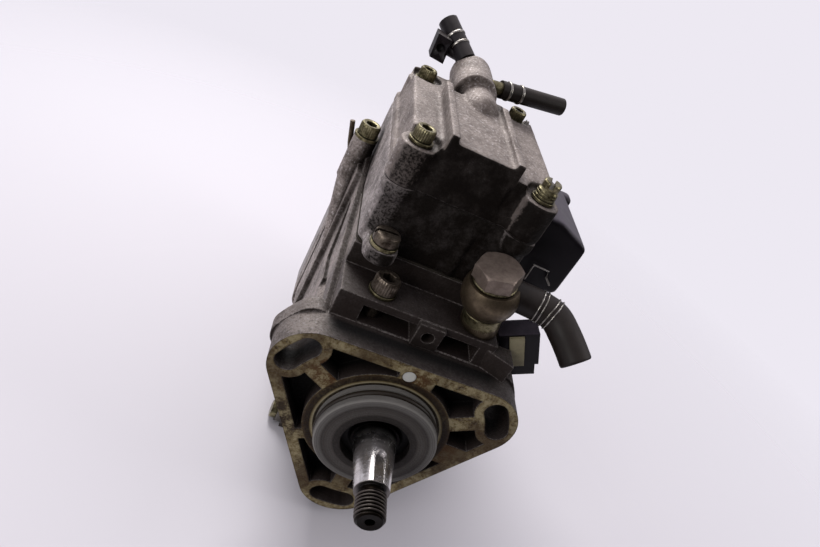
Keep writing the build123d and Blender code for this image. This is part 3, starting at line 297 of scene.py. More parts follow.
def addFlangeStain(tree, coords, x, y, z, towardFront, grain, color, edge):
    # the machined front face has dried fuel and rust on it; the cored areas behind it are painted near black, as
    # their oil and as the shade in these recesses
    stain = flangeStain
    faceMask = addNode(tree, "MapRange", {0: y, 1: stain["faceDepthMm"] + 0.3, 2: stain["faceDepthMm"]})
    front = addNode(tree, "Math", {0: towardFront, 1: 0.7}, operation="GREATER_THAN")
    low = addNode(tree, "Math", {0: z, 1: stain["slotTopMm"]}, operation="LESS_THAN")
    faceMask = addNode(tree, "Math", {0: faceMask, 1: front}, operation="MULTIPLY")
    blots = addNode(tree, "TexNoise", {"Vector": coords, "Scale": 1 / patchMm["driedFuel"], "Detail": 10.0,
                                       "Roughness": 0.75, "Distortion": 0.15})
    paint = paintStops(tree, blots, ((0.38, stain["rust"]), (0.47, stain["tan"]), (0.56, stain["cream"])))
    streaks = addNode(tree, "MapRange", {0: grain, 1: 0.40, 2: 0.66, 4: 0.35})
    mottled = addNode(tree, "Mix", {0: streaks, 6: paint, 7: "#A0967C"})
    # fuel ran down to the lower lobes and round the hub
    wide = addNode(tree, "TexNoise", {"Vector": coords, "Scale": 1 / patchMm["fuelRuns"], "Detail": 6.0})
    ran = addNode(tree, "MapRange", {0: wide, 1: 0.44, 2: 0.58, 4: 0.8})
    browned = addNode(tree, "Mix", {0: ran, 6: mottled, 7: "#3A2A1A"})
    for centre, reach, hexText in stain["spots"]:
        away = addNode(tree, "VectorMath", {0: coords, 1: centre}, operation="DISTANCE")
        near = addNode(tree, "MapRange", {0: away, 1: reach, 2: reach * 0.4, 4: 0.9})
        uneven = addNode(tree, "MapRange", {0: blots, 1: 0.56, 2: 0.46, 3: 0.2})
        spot = addNode(tree, "Math", {0: near, 1: uneven}, operation="MULTIPLY")
        browned = addNode(tree, "Mix", {0: spot, 6: browned, 7: hexText})
    rimmed = addNode(tree, "Mix", {0: edge, 6: browned, 7: "#1C140D"})
    stained = addNode(tree, "Mix", {0: faceMask, 6: color, 7: rimmed})
    # painted shade: the cored recesses are darkened near black, along with their oil
    inCore = addNode(tree, "MapRange", {0: y, 1: stain["coreStartMm"], 2: stain["coreDepthMm"]})
    notFar = addNode(tree, "MapRange", {0: y, 1: stain["coreEndMm"], 2: stain["coreEndMm"] - 1.5})
    radial = addNode(tree, "CombineXYZ", {0: x, 1: z})
    radius = addNode(tree, "VectorMath", {0: radial}, operation="LENGTH")
    inside = addNode(tree, "MapRange", {0: radius, 1: stain["coreRadiusMm"], 2: stain["coreRadiusMm"] - 4})
    core = inCore
    for share in (notFar, low, inside, stain["coreStrength"]):
        core = addNode(tree, "Math", {0: core, 1: share}, operation="MULTIPLY")
    result = addNode(tree, "Mix", {0: core, 6: stained, 7: stain["core"]})
    return addPilotBand(tree, y, radius, grain, result)


turnedRadii = {
    # the pilot's front face and land, then the oily ring of the hub round it, with a bright band that is a painted
    # reflection
    "pilot": ((14.0, "#181615"), (16.8, "#262423"), (17.4, "#4E4B49"), (20.6, "#474442"), (21.4, "#343230"),
              (22.0, "#5A5856"), (24.0, "#6F6D6B"), (24.5, "#8F8D89"), (25.2, "#696764")),
    "hub": ((25.0, "#120C08"), (25.9, "#17100B"), (26.3, "#9B9278"), (27.0, "#6B5E42"), (27.4, "#1A120D"),
            (29.3, "#241911"), (31.0, "#4A3B27")),
    "far": 32.0, "pilotEdge": 25.2, "hubEdge": 30.2, "hubDepth": 1.5,
}


def addPilotBand(tree, y, radius, grain, color):
    # the pilot is turned bright; the hub ring round it holds brown oil and a bright painted reflection band
    ahead = addNode(tree, "Math", {0: y, 1: -0.02}, operation="LESS_THAN")
    onPilot = addNode(tree, "Math", {0: radius, 1: turnedRadii["pilotEdge"]}, operation="LESS_THAN")
    pilotMask = addNode(tree, "Math", {0: onPilot, 1: ahead}, operation="MULTIPLY")
    level = addNode(tree, "Math", {0: y, 1: turnedRadii["hubDepth"]}, operation="LESS_THAN")
    onHub = addNode(tree, "Math", {0: radius, 1: turnedRadii["hubEdge"]}, operation="LESS_THAN")
    hubMask = addNode(tree, "Math", {0: onHub, 1: level}, operation="MULTIPLY")
    patchy = addNode(tree, "MapRange", {0: grain, 1: 0.35, 2: 0.6, 3: 0.75})
    hubMask = addNode(tree, "Math", {0: hubMask, 1: patchy}, operation="MULTIPLY")
    rings = addNode(tree, "TexNoise", {"W": radius, "Scale": 1 / patchMm["toolRings"], "Detail": 4.0},
                    noise_dimensions="1D")
    film = addNode(tree, "MapRange", {0: rings, 1: 0.3, 2: 0.7, 3: 0.7, 4: 0.0})
    share = addNode(tree, "Math", {0: radius, 1: turnedRadii["far"]}, operation="DIVIDE")
    # the hub's ramp gives oil colours and, from 26.3 to 27 mm, a painted reflection band
    bright, hubOilAndReflection = (paintStops(tree, share, turnedRadii[part], turnedRadii["far"]) for part in ("pilot", "hub"))
    turned = addNode(tree, "Mix", {0: film, 6: bright, 7: "#3A3430"})
    oiledHubAndReflection = addNode(tree, "Mix", {0: hubMask, 6: color, 7: hubOilAndReflection})
    return addNode(tree, "Mix", {0: pilotMask, 6: oiledHubAndReflection, 7: turned})


def makeTurnedSteel(name, light, dark, roughness, ringMm=0.35, metallic=1.0, stain=None, spread=0.12):
    # turned or ground steel: fine rings from the tool, a patchy film where it was handled, and corners darkened to
    # the stain colour as oil and painted shade
    finish, tree, shader, coords = startFinish(name)
    rings = addNode(tree, "TexWave", {"Vector": coords, "Scale": 1 / (ringMm * 20), "Distortion": 1.5, "Detail": 2.0,
                                      "Detail Scale": 2.0}, bands_direction="Y")
    film = addNode(tree, "TexNoise", {"Vector": coords, "Scale": 1 / patchMm["handling"], "Detail": 9.0,
                                      "Roughness": 0.75})
    color = paintStops(tree, film, ((0.5 - spread, dark), (0.5 + spread, light)))
    if stain:
        # painted shade: occlusion darkens the corners to the stain colour, with the oil in them
        shade = addNode(tree, "AmbientOcclusion", {"Distance": 0.003}, samples=4)
        corner = addNode(tree, "MapRange", {0: shade.outputs["AO"], 1: 0.85, 2: 0.40, 4: 0.9})
        color = addNode(tree, "Mix", {0: corner, 6: color, 7: stain})
    rough = addNode(tree, "MapRange", {0: film, 1: 0.3, 2: 0.7, 3: roughness + 0.12, 4: roughness - 0.08})
    rounded = addNode(tree, "Bevel", {"Radius": 0.35 * mm}, samples=4)
    bump = addNode(tree, "Bump", {"Height": rings, "Strength": 0.25, "Distance": 0.02 * mm, "Normal": rounded})
    setInputs(tree, shader, {"Base Color": color, "Roughness": rough, "Metallic": metallic, "Normal": bump})
    return finish


def makeMoulded(name, light, dark, roughness, grainMm, depthMm, dustAndSheen=0.0, gloss=0.3, dustAndSheenHex="#8D8480"):
    # moulded rubber or plastic: low sheen, a fine eroded skin, and a tint on top that is settled dust and, on the
    # module, painted sheen
    finish, tree, shader, coords = startFinish(name)
    surface = addNode(tree, "NewGeometry")
    facing = addNode(tree, "SeparateXYZ", {0: surface.outputs["Normal"]})
    skin = addNode(tree, "TexNoise", {"Vector": coords, "Scale": 1 / grainMm, "Detail": 4.0})
    patches = addNode(tree, "TexNoise", {"Vector": coords, "Scale": 1 / patchMm["settledDust"], "Detail": 5.0,
                                         "Roughness": 0.7})
    tone = addNode(tree, "Mix", {0: patches, 6: dark, 7: light})
    # upward faces take the top tint: settled dust, and painted sheen where it is violet
    upward = addNode(tree, "MapRange", {0: facing.outputs[2], 1: 0.2, 2: 1.0, 4: dustAndSheen})
    dustAndSheenMask = addNode(tree, "Math", {0: upward, 1: patches}, operation="MULTIPLY")
    color = addNode(tree, "Mix", {0: dustAndSheenMask, 6: tone, 7: dustAndSheenHex})
    rough = addNode(tree, "MapRange", {0: patches, 1: 0.3, 2: 0.7, 3: roughness - 0.08, 4: roughness + 0.12})
    rounded = addNode(tree, "Bevel", {"Radius": 0.5 * mm}, samples=4)
    bump = addNode(tree, "Bump", {"Height": skin, "Strength": 0.4, "Distance": depthMm * mm, "Normal": rounded})
    setInputs(tree, shader, {"Base Color": color, "Roughness": rough, "Specular IOR Level": gloss, "Normal": bump})
    return finish


# sand cast: dull grey with a coarse grain; the flange, the body and the cover each aged their own way
castPump = makeSandCast("sandCastAluminiumPump", sandCastLooks["pumpCasting"], stainFlange=True)
castGovernor = makeSandCast("sandCastAluminiumGovernor", sandCastLooks["governorCasting"])
castCover = makeSandCast("sandCastAluminiumCover", sandCastLooks["coverCasting"])
# yellow zinc plate reads as a dull olive gold, worn to grey on the edges
zincYellow = makeTurnedSteel("yellowZincPlatedSteel", "#9C9474", "#3A341F", 0.33, 0.5, 0.9, "#100C07")
# the same plate rubbed and rusted through, on the screws that get wet
wornZinc = makeTurnedSteel("wornZincSteel", "#857A6E", "#33291F", 0.38, 0.5, 0.85, "#0F0A07")
# brown iron phosphate under old oil; the bolt's hexagon is lighter than the eye
banjoSteel = makeTurnedSteel("oiledForgedSteel", "#6F624F", "#3C3126", 0.36, 0.6, 0.75, "#0C0906", spread=0.22)
boltSteel = makeTurnedSteel("phosphatedBoltSteel", "#94867C", "#5A4D44", 0.42, 0.6, 0.6, "#0E0A08", spread=0.25)
# ground, drawn and turned steel, then laminated iron: each duller than the one before
groundSteel = makeTurnedSteel("groundShaftSteel", "#D2D0CE", "#8F8C88", 0.20, 0.3, 1.0, "#2A2521")
springSteel = makeTurnedSteel("drawnSpringSteel", "#C2BEB8", "#7E7972", 0.28, 0.5, 1.0)
plainSteel = makeTurnedSteel("turnedFreeCuttingSteel", "#8A8580", "#625D57", 0.38, 0.5, 0.95, "#1C1814", spread=0.3)
laminated = makeTurnedSteel("laminatedIron", "#6B6763", "#3F3C39", 0.5, 0.35, 0.9)
# brown gold with a soft shine
bronzeBush = makeTurnedSteel("leadedBronze", "#A98754", "#6E5430", 0.35, 0.4, 1.0)
# rubber: near black, the hose browned and dusty, the ring oily
hoseRubber = makeMoulded("fuelHoseRubber", "#221A16", "#0C0807", 0.48, 0.7, 0.10, dustAndSheen=0.12, gloss=0.25)
sealRubber = makeMoulded("nitrileSealRubber", "#0E0D0D", "#060505", 0.5, 0.5, 0.02, gloss=0.12)
stainedRing = makeMoulded("agedNitrileRing", "#2A2117", "#0F0B07", 0.42, 0.8, 0.03)
# moulded nylon: smooth black with violet on top that is dust and painted sheen, and a yellowed cream lock
modulePlastic = makeMoulded("glassFilledNylonModule", "#151016", "#070508", 0.38, 0.5, 0.03, dustAndSheen=0.6, gloss=0.2,
                            dustAndSheenHex="#766E7C")
teePlastic = makeMoulded("mouldedNylonTee", "#1B151A", "#0A0709", 0.40, 0.6, 0.04, dustAndSheen=0.2, gloss=0.25)
creamPlastic = makeMoulded("creamNylonLock", "#B7AE8E", "#3F3826", 0.5, 0.8, 0.04)
# pressed fibre and old paint: flat, with no shine
gasketSheet = makeMoulded("fibreGasketSheet", "#3A342C", "#1E1A15", 0.8, 0.4, 0.05)
whitePlug = makeMoulded("paintedGalleryPlug", "#D9DAD6", "#A9A9A2", 0.6, 0.8, 0.04)
print("finishes made")

nodeFinishes = {
    castPump: ("pump_housing",), castGovernor: ("governor_housing",), castCover: ("top_cover",),
    zincYellow: ("washers", "foot_screw", "cover_shear_screw", "timing_cover_screws", "plate_screws", "plug_bracket",
                 "banjo_washers", "return_nipple"),
    banjoSteel: ("banjo_eye", "inlet_seat"), boltSteel: ("banjo_bolt",), bronzeBush: ("shaft_bush",),
    groundSteel: ("cross_disc", "supply_rotor", "supply_vanes", "supply_ring", "supply_plate", "roller_ring",
                  "roller_pins", "roller_1", "roller_2", "roller_3", "roller_4", "cam_plate", "plunger",
                  "control_collar", "actuator_rotor"),
    springSteel: ("spring_bridge", "return_springs", "timing_spring"),
    plainSteel: ("distributor_head", "delivery_valve_holders", "centre_plug", "head_screws", "shutdown_solenoid",
                 "timing_solenoid", "pressure_valve", "timing_piston", "timing_covers"),
    hoseRubber: ("inlet_hose", "return_hose"), sealRubber: ("shaft_seal",), gasketSheet: ("housing_gasket",),
    modulePlastic: ("control_module", "harness_plug"), teePlastic: ("return_tee",), creamPlastic: ("plug_lock",),
    whitePlug: ("gallery_plug",), laminated: ("actuator_stator", "solenoid_armature"),
}
for finish, names in nodeFinishes.items():
    for name in names:
        for materialSlot in nodes[name].material_slots:
            materialSlot.material = finish
print("finishes assigned")


# castings with the rounded edges and uneven skin of a sand mould
castSkins = {
    # waveMm and depthMm are how uneven the mould left it, widerMm how far the outer side moves out
    "top_cover": {"name": "coverCastSkin", "voxelMm": 0.75, "smooth": 5, "waveMm": 4.0, "depthMm": 0.25,
                  "widerMm": 0.0},
    "governor_housing": {"name": "governorCastSkin", "voxelMm": 0.85, "smooth": 5, "waveMm": 5.0, "depthMm": 0.3,
                         "widerMm": 0.0},
    "control_module": {"name": "moduleMouldedSkin", "voxelMm": 0.8, "smooth": 16, "waveMm": 9.0, "depthMm": 0.12,
                       "widerMm": 2.4},
}


def copyOfNode(nodeName, name):
    source = nodes[nodeName]
    bm = bmesh.new()
    bm.from_mesh(source.data)
    bm.transform(source.matrix_world)
    bmesh.ops.remove_doubles(bm, verts=bm.verts, dist=0.002 * mm)
    return finishMesh(name, bm)


def castSkin(nodeName, finish, slotName="cast_aluminium"):
    look = castSkins[nodeName]
    skin = copyOfNode(nodeName, look["name"])
    addModifier(skin, "REMESH", mode="VOXEL", voxel_size=look["voxelMm"] * mm)
    addModifier(skin, "SMOOTH", factor=0.5, iterations=look["smooth"])
    waves = bpy.data.textures.new(look["name"] + "Waves", "CLOUDS")
    waves.noise_scale = look["waveMm"] * mm
    addModifier(skin, "DISPLACE", texture=waves, strength=look["depthMm"] * mm, mid_level=0.75)
    bakeModifiers(skin)
    far = max(vert.co.x for vert in skin.data.vertices)
    for vert in skin.data.vertices:
        # the outer side moves out, all of it past 4 mm from its end and none of it past 12 mm
        vert.co.x += look["widerMm"] * mm * min(max(((vert.co.x - far) / mm + 12) / 8, 0), 1)
    for face in skin.data.polygons:
        face.use_smooth = True
    print(look["name"], len(skin.data.polygons), "faces")
    return placePiece(skin, finish, slotName, nodeName)


castSkin("top_cover", castCover)
castSkin("governor_housing", castGovernor)
castSkin("control_module", modulePlastic, "black_plastic")
print("cast skins made")


# drive shaft, with its thread cut
driveShaft = {
    "tipY": -43.5, "threadEndY": -32.9, "taperStartY": -30.7, "taperEndY": -6.0, "discY": 47.5, "endY": 51.5,
    "threadRadius": 6.0, "threadPitch": 1.5, "threadDepth": 1.0, "reliefRadius": 5.1,
    "taperSmall": 6.9, "taperBig": 8.9, "journal": 10.0, "disc": 16.0,
    "centreHole": 2.2, "centreDepth": 3.0, "tipFace": 5.0, "tipCone": 0.2,
    "threadStep": 0.14, "taperStep": 0.6, "cols": 96,
    # how steep a thread flank is, the flat at its root, and how the first turn runs in
    "flank": 1.45, "rootFlat": 0.12, "runIn": 1.3, "runInDrop": 1.1, "runInDepth": 0.3,
    "keyWidth": 4.0, "keyFloor": 6.5, "keyEndY": -16.7,
}


def shaftRadius(y, angle):
    s = driveShaft
    if y <= s["threadEndY"]:
        turn = ((y - s["tipY"]) / s["threadPitch"] - angle / (2 * math.pi)) % 1.0
        flank = min(1.0, max(0.0, abs(2 * turn - 1) * s["flank"] - s["rootFlat"]))
        runIn = min(1.0, (y - s["tipY"]) / s["runIn"])
        depth = s["threadDepth"] * (s["runInDepth"] + (1 - s["runInDepth"]) * runIn)
        return (s["threadRadius"] - s["runInDrop"] * (1 - runIn)) - depth * (1 - flank)
    if y < s["taperStartY"]:
        return s["reliefRadius"]
    if y <= s["taperEndY"]:
        share = (y - s["taperStartY"]) / (s["taperEndY"] - s["taperStartY"])
        return s["taperSmall"] + share * (s["taperBig"] - s["taperSmall"])
    return s["journal"] if y < s["discY"] else s["disc"]


def buildDriveShaft():
    s = driveShaft
    threadRows = int((s["threadEndY"] - s["tipY"]) / s["threadStep"]) + 1
    stations = [s["tipY"] + s["threadStep"] * k for k in range(threadRows)]
    stations += [s["threadEndY"] + 0.01, s["taperStartY"] - 0.01, s["taperStartY"] + 0.01]
    stations += [s["taperStartY"] + s["taperStep"] * k for k in range(1, 41)]
    stations += [s["taperEndY"], s["taperEndY"] + 0.01, s["discY"] - 0.01, s["discY"], s["endY"]]
    bm = bmesh.new()
    rings = []
    for y in stations:
        spokes = [(a, shaftRadius(y, a)) for a in (2 * math.pi * j / s["cols"] for j in range(s["cols"]))]
        rings.append([bm.verts.new(Vector((r * math.cos(a), y, r * math.sin(a))) * mm) for a, r in spokes])
    joinRings(bm, rings, closeEnds=True)
    # the inset needs the face's own normal
    bmesh.ops.recalc_face_normals(bm, faces=bm.faces)
    bm.normal_update()
    tipFace = min(bm.faces, key=lambda face: face.calc_center_median().y)
    bmesh.ops.inset_region(bm, faces=[tipFace], thickness=(s["tipFace"] - s["centreHole"]) * mm)
    bmesh.ops.translate(bm, verts=tipFace.verts, vec=(0, s["tipCone"] * mm, 0))
    bmesh.ops.inset_region(bm, faces=[tipFace], thickness=0.02 * mm)
    bmesh.ops.translate(bm, verts=tipFace.verts, vec=(0, s["centreDepth"] * mm, 0))
    return cutKeyway(finishMesh("driveShaftTurned", bm))


def cutKeyway(shaft):
    s = driveShaft
    half = s["keyWidth"] / 2
    outline = [(-half, s["taperStartY"] - 1), (half, s["taperStartY"] - 1)]
    outline += [(half * math.cos(a), s["keyEndY"] - half + half * math.sin(a))
                for a in (math.pi * k / 12 for k in range(13))]
    bm = bmesh.new()
    low = [bm.verts.new(Vector((x, y, s["keyFloor"])) * mm) for x, y in outline]
    high = [bm.verts.new(Vector((x, y, s["disc"])) * mm) for x, y in outline]
    joinRings(bm, [low, high], closeEnds=True)
    return cutAway(shaft, finishMesh("keywayCutter", bm), 35)


# a ground taper shines almost white
shaftFinish = makeTurnedSteel("groundTaperSteel", "#E2E0DF", "#C2BEBC", 0.20, 0.3, 1.0, spread=0.25)


def darkenThread(finish):
    # black oil and painted shade in the thread's roots and on the journal by the seal; crests are lighter, partly as
    # painted highlight, and the taper is bright
    s = driveShaft
    tree = finish.node_tree
    shader = next(n for n in tree.nodes if n.type == "BSDF_PRINCIPLED")
    bright = shader.inputs["Base Color"].links[0].from_socket
    coords = next(n for n in tree.nodes if n.type == "VECT_MATH").outputs[0]
    x, y, z = addNode(tree, "SeparateXYZ", {0: coords}).outputs
    flat = addNode(tree, "CombineXYZ", {0: x, 1: z})
    radius = addNode(tree, "VectorMath", {0: flat}, operation="LENGTH")
    # painted shade and highlight: thread roots near black and crests lighter, with oil in the roots
    crest = addNode(tree, "MapRange", {0: radius, 1: s["threadRadius"] - s["threadDepth"] * 0.7,
                                       2: s["threadRadius"] - 0.05})
    thread = addNode(tree, "Mix", {0: crest, 6: "#16120F", 7: "#5F5955"})
    ahead = addNode(tree, "MapRange", {0: y, 1: s["taperStartY"] + 0.5, 2: s["taperStartY"] - 0.1})
    # painted shade by the seal: the journal is darkened near black, with oil
    behind = addNode(tree, "MapRange", {0: y, 1: s["taperEndY"] - 5.0, 2: s["taperEndY"] - 0.4})
    mixed = addNode(tree, "Mix", {0: ahead, 6: bright, 7: thread})
    mixed = addNode(tree, "Mix", {0: behind, 6: mixed, 7: "#0E0C0B"})
    rough = shader.inputs["Roughness"].links[0].from_socket
    either = addNode(tree, "Math", {0: ahead, 1: behind}, operation="ADD")
    duller = addNode(tree, "Math", {0: either, 1: 0.16}, operation="MULTIPLY")
    total = addNode(tree, "Math", {0: rough, 1: duller}, operation="ADD")
    setInputs(tree, shader, {"Base Color": mixed, "Roughness": total})


darkenThread(shaftFinish)
placePiece(buildDriveShaft(), shaftFinish, "ground_steel", "drive_shaft", body="drive")
print("drive shaft made")


# O-ring in the pilot groove
pilotRing = {"centreRadius": 24.2, "section": 1.3, "y": -3.8}


def torusMesh(bm, centre, direction, radius, section, cols=64, rows=12, flat=1.0):
    place = Matrix.Translation(Vector(centre)) @ axisFrame(direction)
    rings = []
    for i in range(cols):
        a = 2 * math.pi * i / cols
        ring = []
        for j in range(rows):
            b = 2 * math.pi * j / rows
            r = radius + section * math.cos(b)
            local = Vector((r * math.cos(a), r * math.sin(a), section * flat * math.sin(b)))
            ring.append(bm.verts.new(place @ local * mm))
        rings.append(ring)
    joinRings(bm, [*rings, rings[0]])


bm = bmesh.new()
torusMesh(bm, (0, pilotRing["y"], 0), (0, -1, 0), pilotRing["centreRadius"], pilotRing["section"], cols=96)
placePiece(finishMesh("pilotRingSmooth", bm), stainedRing, "black_rubber", "pilot_o_ring")

# screws: one head with a knurled rim and a hexagon socket, copied to its places
capHead = {
    "radius": 5.0, "height": 6.0, "chamfer": 0.7, "socket": 2.9, "socketDepth": 3.2, "knurls": 28,
    "knurlDepth": 0.28, "shank": 2.9, "shankLength": 12.0,
}


def buildCapHead():
    h = capHead
    bm = bmesh.new()
    profile = [(h["shank"], -h["shankLength"]), (h["shank"], 0), (h["radius"] - 0.3, 0), (h["radius"], 0.3),
               (h["radius"], 0.9), (h["radius"], 2.8), (h["radius"], h["height"] - h["chamfer"] - 0.3),
               (h["radius"] - h["chamfer"], h["height"]), (h["socket"] + 0.75, h["height"])]
    cols = h["knurls"] * 6
    rings = latheMesh(bm, profile, Matrix.Identity(4), cols,
                      (h["knurls"], h["knurlDepth"], 0.5, h["height"] - h["chamfer"] - 0.2))
    levels = [ringOf(bm, Matrix.Identity(4), height, lambda a: hexRadius(h["socket"], a), cols)
              for height in (h["height"] - 0.25, h["height"] - h["socketDepth"])]
    joinRings(bm, [rings[-1], *levels])
    bm.faces.new(levels[1])
    bm.faces.new(rings[0][::-1])
    return finishMesh("capHeadPattern", bm, 30)


def buildWasher():
    bm = bmesh.new()
    rings = latheMesh(bm, [(3.0, -1.4), (5.4, -1.4), (5.5, -1.25), (5.5, -0.2), (5.35, 0.0), (3.0, 0.0)],
                      Matrix.Identity(4), 56)
    joinRings(bm, [rings[-1], rings[0]])
    return finishMesh("washerPattern", bm, 30)


slottedScrews = {
    # the shear screw's head broke off: a collar, a round stub on it and a slot sawn later to undo it
    "shearScrewStub": {
        "profile": [(2.9, -24), (2.9, 0), (4.1, 0), (4.25, 0.25), (4.25, 0.9), (4.0, 1.15), (4.2, 1.4), (4.2, 2.1),
                    (3.95, 2.35), (4.1, 2.6), (4.1, 3.2), (3.7, 3.6), (3.4, 4.2), (3.6, 4.6), (3.65, 6.6),
                    (3.3, 7.1)],
        "slotHeight": 6.9, "slotSize": (12, 1.7, 3.6), "slotTurn": 74},
    "footScrewSlotted": {
        "profile": [(2.9, -8.2), (2.9, 0), (5.0, 0), (5.25, 0.3), (5.25, 3.4), (4.9, 4.2), (4.2, 4.6), (2.0, 4.75)],
        "slotHeight": 4.4, "slotSize": (14, 1.5, 4.0), "slotTurn": 8},
}


def buildSlottedScrew(name, seat):
    # turned about its axis, then a slot sawn across its head
    look = slottedScrews[name]
    bm = bmesh.new()
    latheMesh(bm, look["profile"], Matrix.Translation(Vector(seat)), 64, closeEnds=True)
    cutter = bmesh.new()
    middle = Matrix.Translation(Vector((*seat[:2], seat[2] + look["slotHeight"])) * mm)
    addBlock(cutter, middle @ Matrix.Rotation(math.radians(look["slotTurn"]), 4, "Z"), look["slotSize"])
    return cutAway(finishMesh(name, bm, 30), finishMesh("slotCutter", cutter), 30)


def makeCopyTree(name):
    # copies of one object on every point, turned alike, realised and given their finish
    tree = bpy.data.node_groups.new(name, "GeometryNodeTree")
    for socket, kind in (("Points", "Geometry"), ("Pattern", "Object"), ("Turn", "Vector"), ("Spread", "Float"),
                         ("Size", "Float"), ("Finish", "Material")):
        tree.interface.new_socket(socket, in_out="INPUT", socket_type="NodeSocket" + kind)
    tree.interface.new_socket("Copies", in_out="OUTPUT", socket_type="NodeSocketGeometry")
    given = addNode(tree, "NodeGroupInput").outputs
    pattern = addNode(tree, "GeometryNodeObjectInfo", {"Object": given["Pattern"]})
    spin = addNode(tree, "FunctionNodeRandomValue", {2: 0.0, 3: given["Spread"], "Seed": 7}, data_type="FLOAT")
    local = addNode(tree, "CombineXYZ", {2: spin.outputs[1]})
    onPoints = addNode(tree, "GeometryNodeInstanceOnPoints", {"Points": given["Points"],
                                                              "Instance": pattern.outputs["Geometry"],
                                                              "Rotation": given["Turn"], "Scale": given["Size"]})
    spun = addNode(tree, "GeometryNodeRotateInstances", {"Instances": onPoints, "Rotation": local})
    real = addNode(tree, "GeometryNodeRealizeInstances", {0: spun})
    dressed = addNode(tree, "GeometryNodeSetMaterial", {"Geometry": real, "Material": given["Finish"]})
    addNode(tree, "NodeGroupOutput", {0: dressed})
    return tree


copyTree = makeCopyTree("copiesOnPoints")


def copyOnPoints(name, pattern, points, finish, turn=(0, 0, 0), spread=6.28, size=1.0):
    mesh = bpy.data.meshes.new(name + "Points")
    mesh.from_pydata([Vector(p) * mm for p in points], [], [])
    holder = linkNew(name, mesh)
    modifier = addModifier(holder, "NODES", node_group=copyTree)
    values = {"Pattern": pattern, "Turn": turn, "Spread": spread, "Size": size, "Finish": finish}
    for item in copyTree.interface.items_tree:
        if item.in_out == "INPUT" and item.name in values:
            modifier[item.identifier] = values[item.name]
    bakeModifiers(holder)
    return holder


screwPlaces = {
    "coverSeat": 107.4, "shelfSeat": 51.4, "columnSeat": 76.4,
    "cover": ((-31.0, 38.5), (-28.7, 108.0), (18.0, 111.0)),
    "shelf": (-20.5, 21.5),
    "column": (-43.1, 96.0),
    "shear": (20.0, 35.0),
    "foot": (-27.8, 26.8), "footSeat": 68.4,
    "head": 33.0, "headSeatY": 130.0,
}
capPattern = buildCapHead()
washerPattern = buildWasher()
coverSeats = [(x, y, screwPlaces["coverSeat"]) for x, y in screwPlaces["cover"]]
lowSeats = [(*screwPlaces["shelf"], screwPlaces["shelfSeat"]), (*screwPlaces["column"], screwPlaces["columnSeat"])]
shearSeat = (*screwPlaces["shear"], screwPlaces["coverSeat"])
footSeat = (*screwPlaces["foot"], screwPlaces["footSeat"])
for name, pattern, points, finish, size, replaced in (
        ("coverScrewsKnurled", capPattern, coverSeats, zincYellow, 0.80, ["cap_screws"]),
        ("columnScrewKnurled", capPattern, lowSeats[1:], zincYellow, 0.95, []),
        ("shelfScrewKnurled", capPattern, lowSeats[:1], wornZinc, 1.06, []),
        ("coverWashers", washerPattern, [*coverSeats, shearSeat], zincYellow, 0.88, ["washers"]),
        ("lowWashers", washerPattern, [*lowSeats, footSeat], zincYellow, 1.05, [])):
    placePiece(copyOnPoints(name, pattern, points, finish, size=size), finish, "zinc_plated_steel", *replaced)
bpy.data.objects.remove(washerPattern)
for name, seat, finish, replaced in (("shearScrewStub", shearSeat, zincYellow, "cover_shear_screw"),
                                     ("footScrewSlotted", footSeat, wornZinc, "foot_screw")):
    placePiece(buildSlottedScrew(name, seat), finish, "zinc_plated_steel", replaced)
reach = screwPlaces["head"]
rear = [(sx * reach, screwPlaces["headSeatY"], sz * reach) for sx in (-1, 1) for sz in (-1, 1)]
placePiece(copyOnPoints("headScrewsKnurled", capPattern, rear, plainSteel, turn=(-math.pi / 2, 0, 0)), plainSteel,
           "turned_steel", "head_screws")
bpy.data.objects.remove(capPattern)
print("screws made")


# banjo union, hoses and their spring clips
union = {
    "base": (22.4, 23.4, 50.0), "lean": (7.0, -14.0),
    "ballRadius": 11.8, "ballMid": 18.6, "ballFrom": 10.2, "ballTo": 24.6,
    "seatRadius": 8.2, "seatFrom": 3.5, "sealHeight": 1.2, "sealRadii": (8.6, 8.9),
    "hexRadius": 9.81, "hexFrom": 25.8, "hexTo": 32.6, "chamferRadius": 8.6,
    "stubRadius": 4.9, "stubLength": 13.0,
}
unionPlace = (Matrix.Translation(Vector(union["base"])) @ Matrix.Rotation(math.radians(union["lean"][0]), 4, "X")
              @ Matrix.Rotation(math.radians(union["lean"][1]), 4, "Y"))


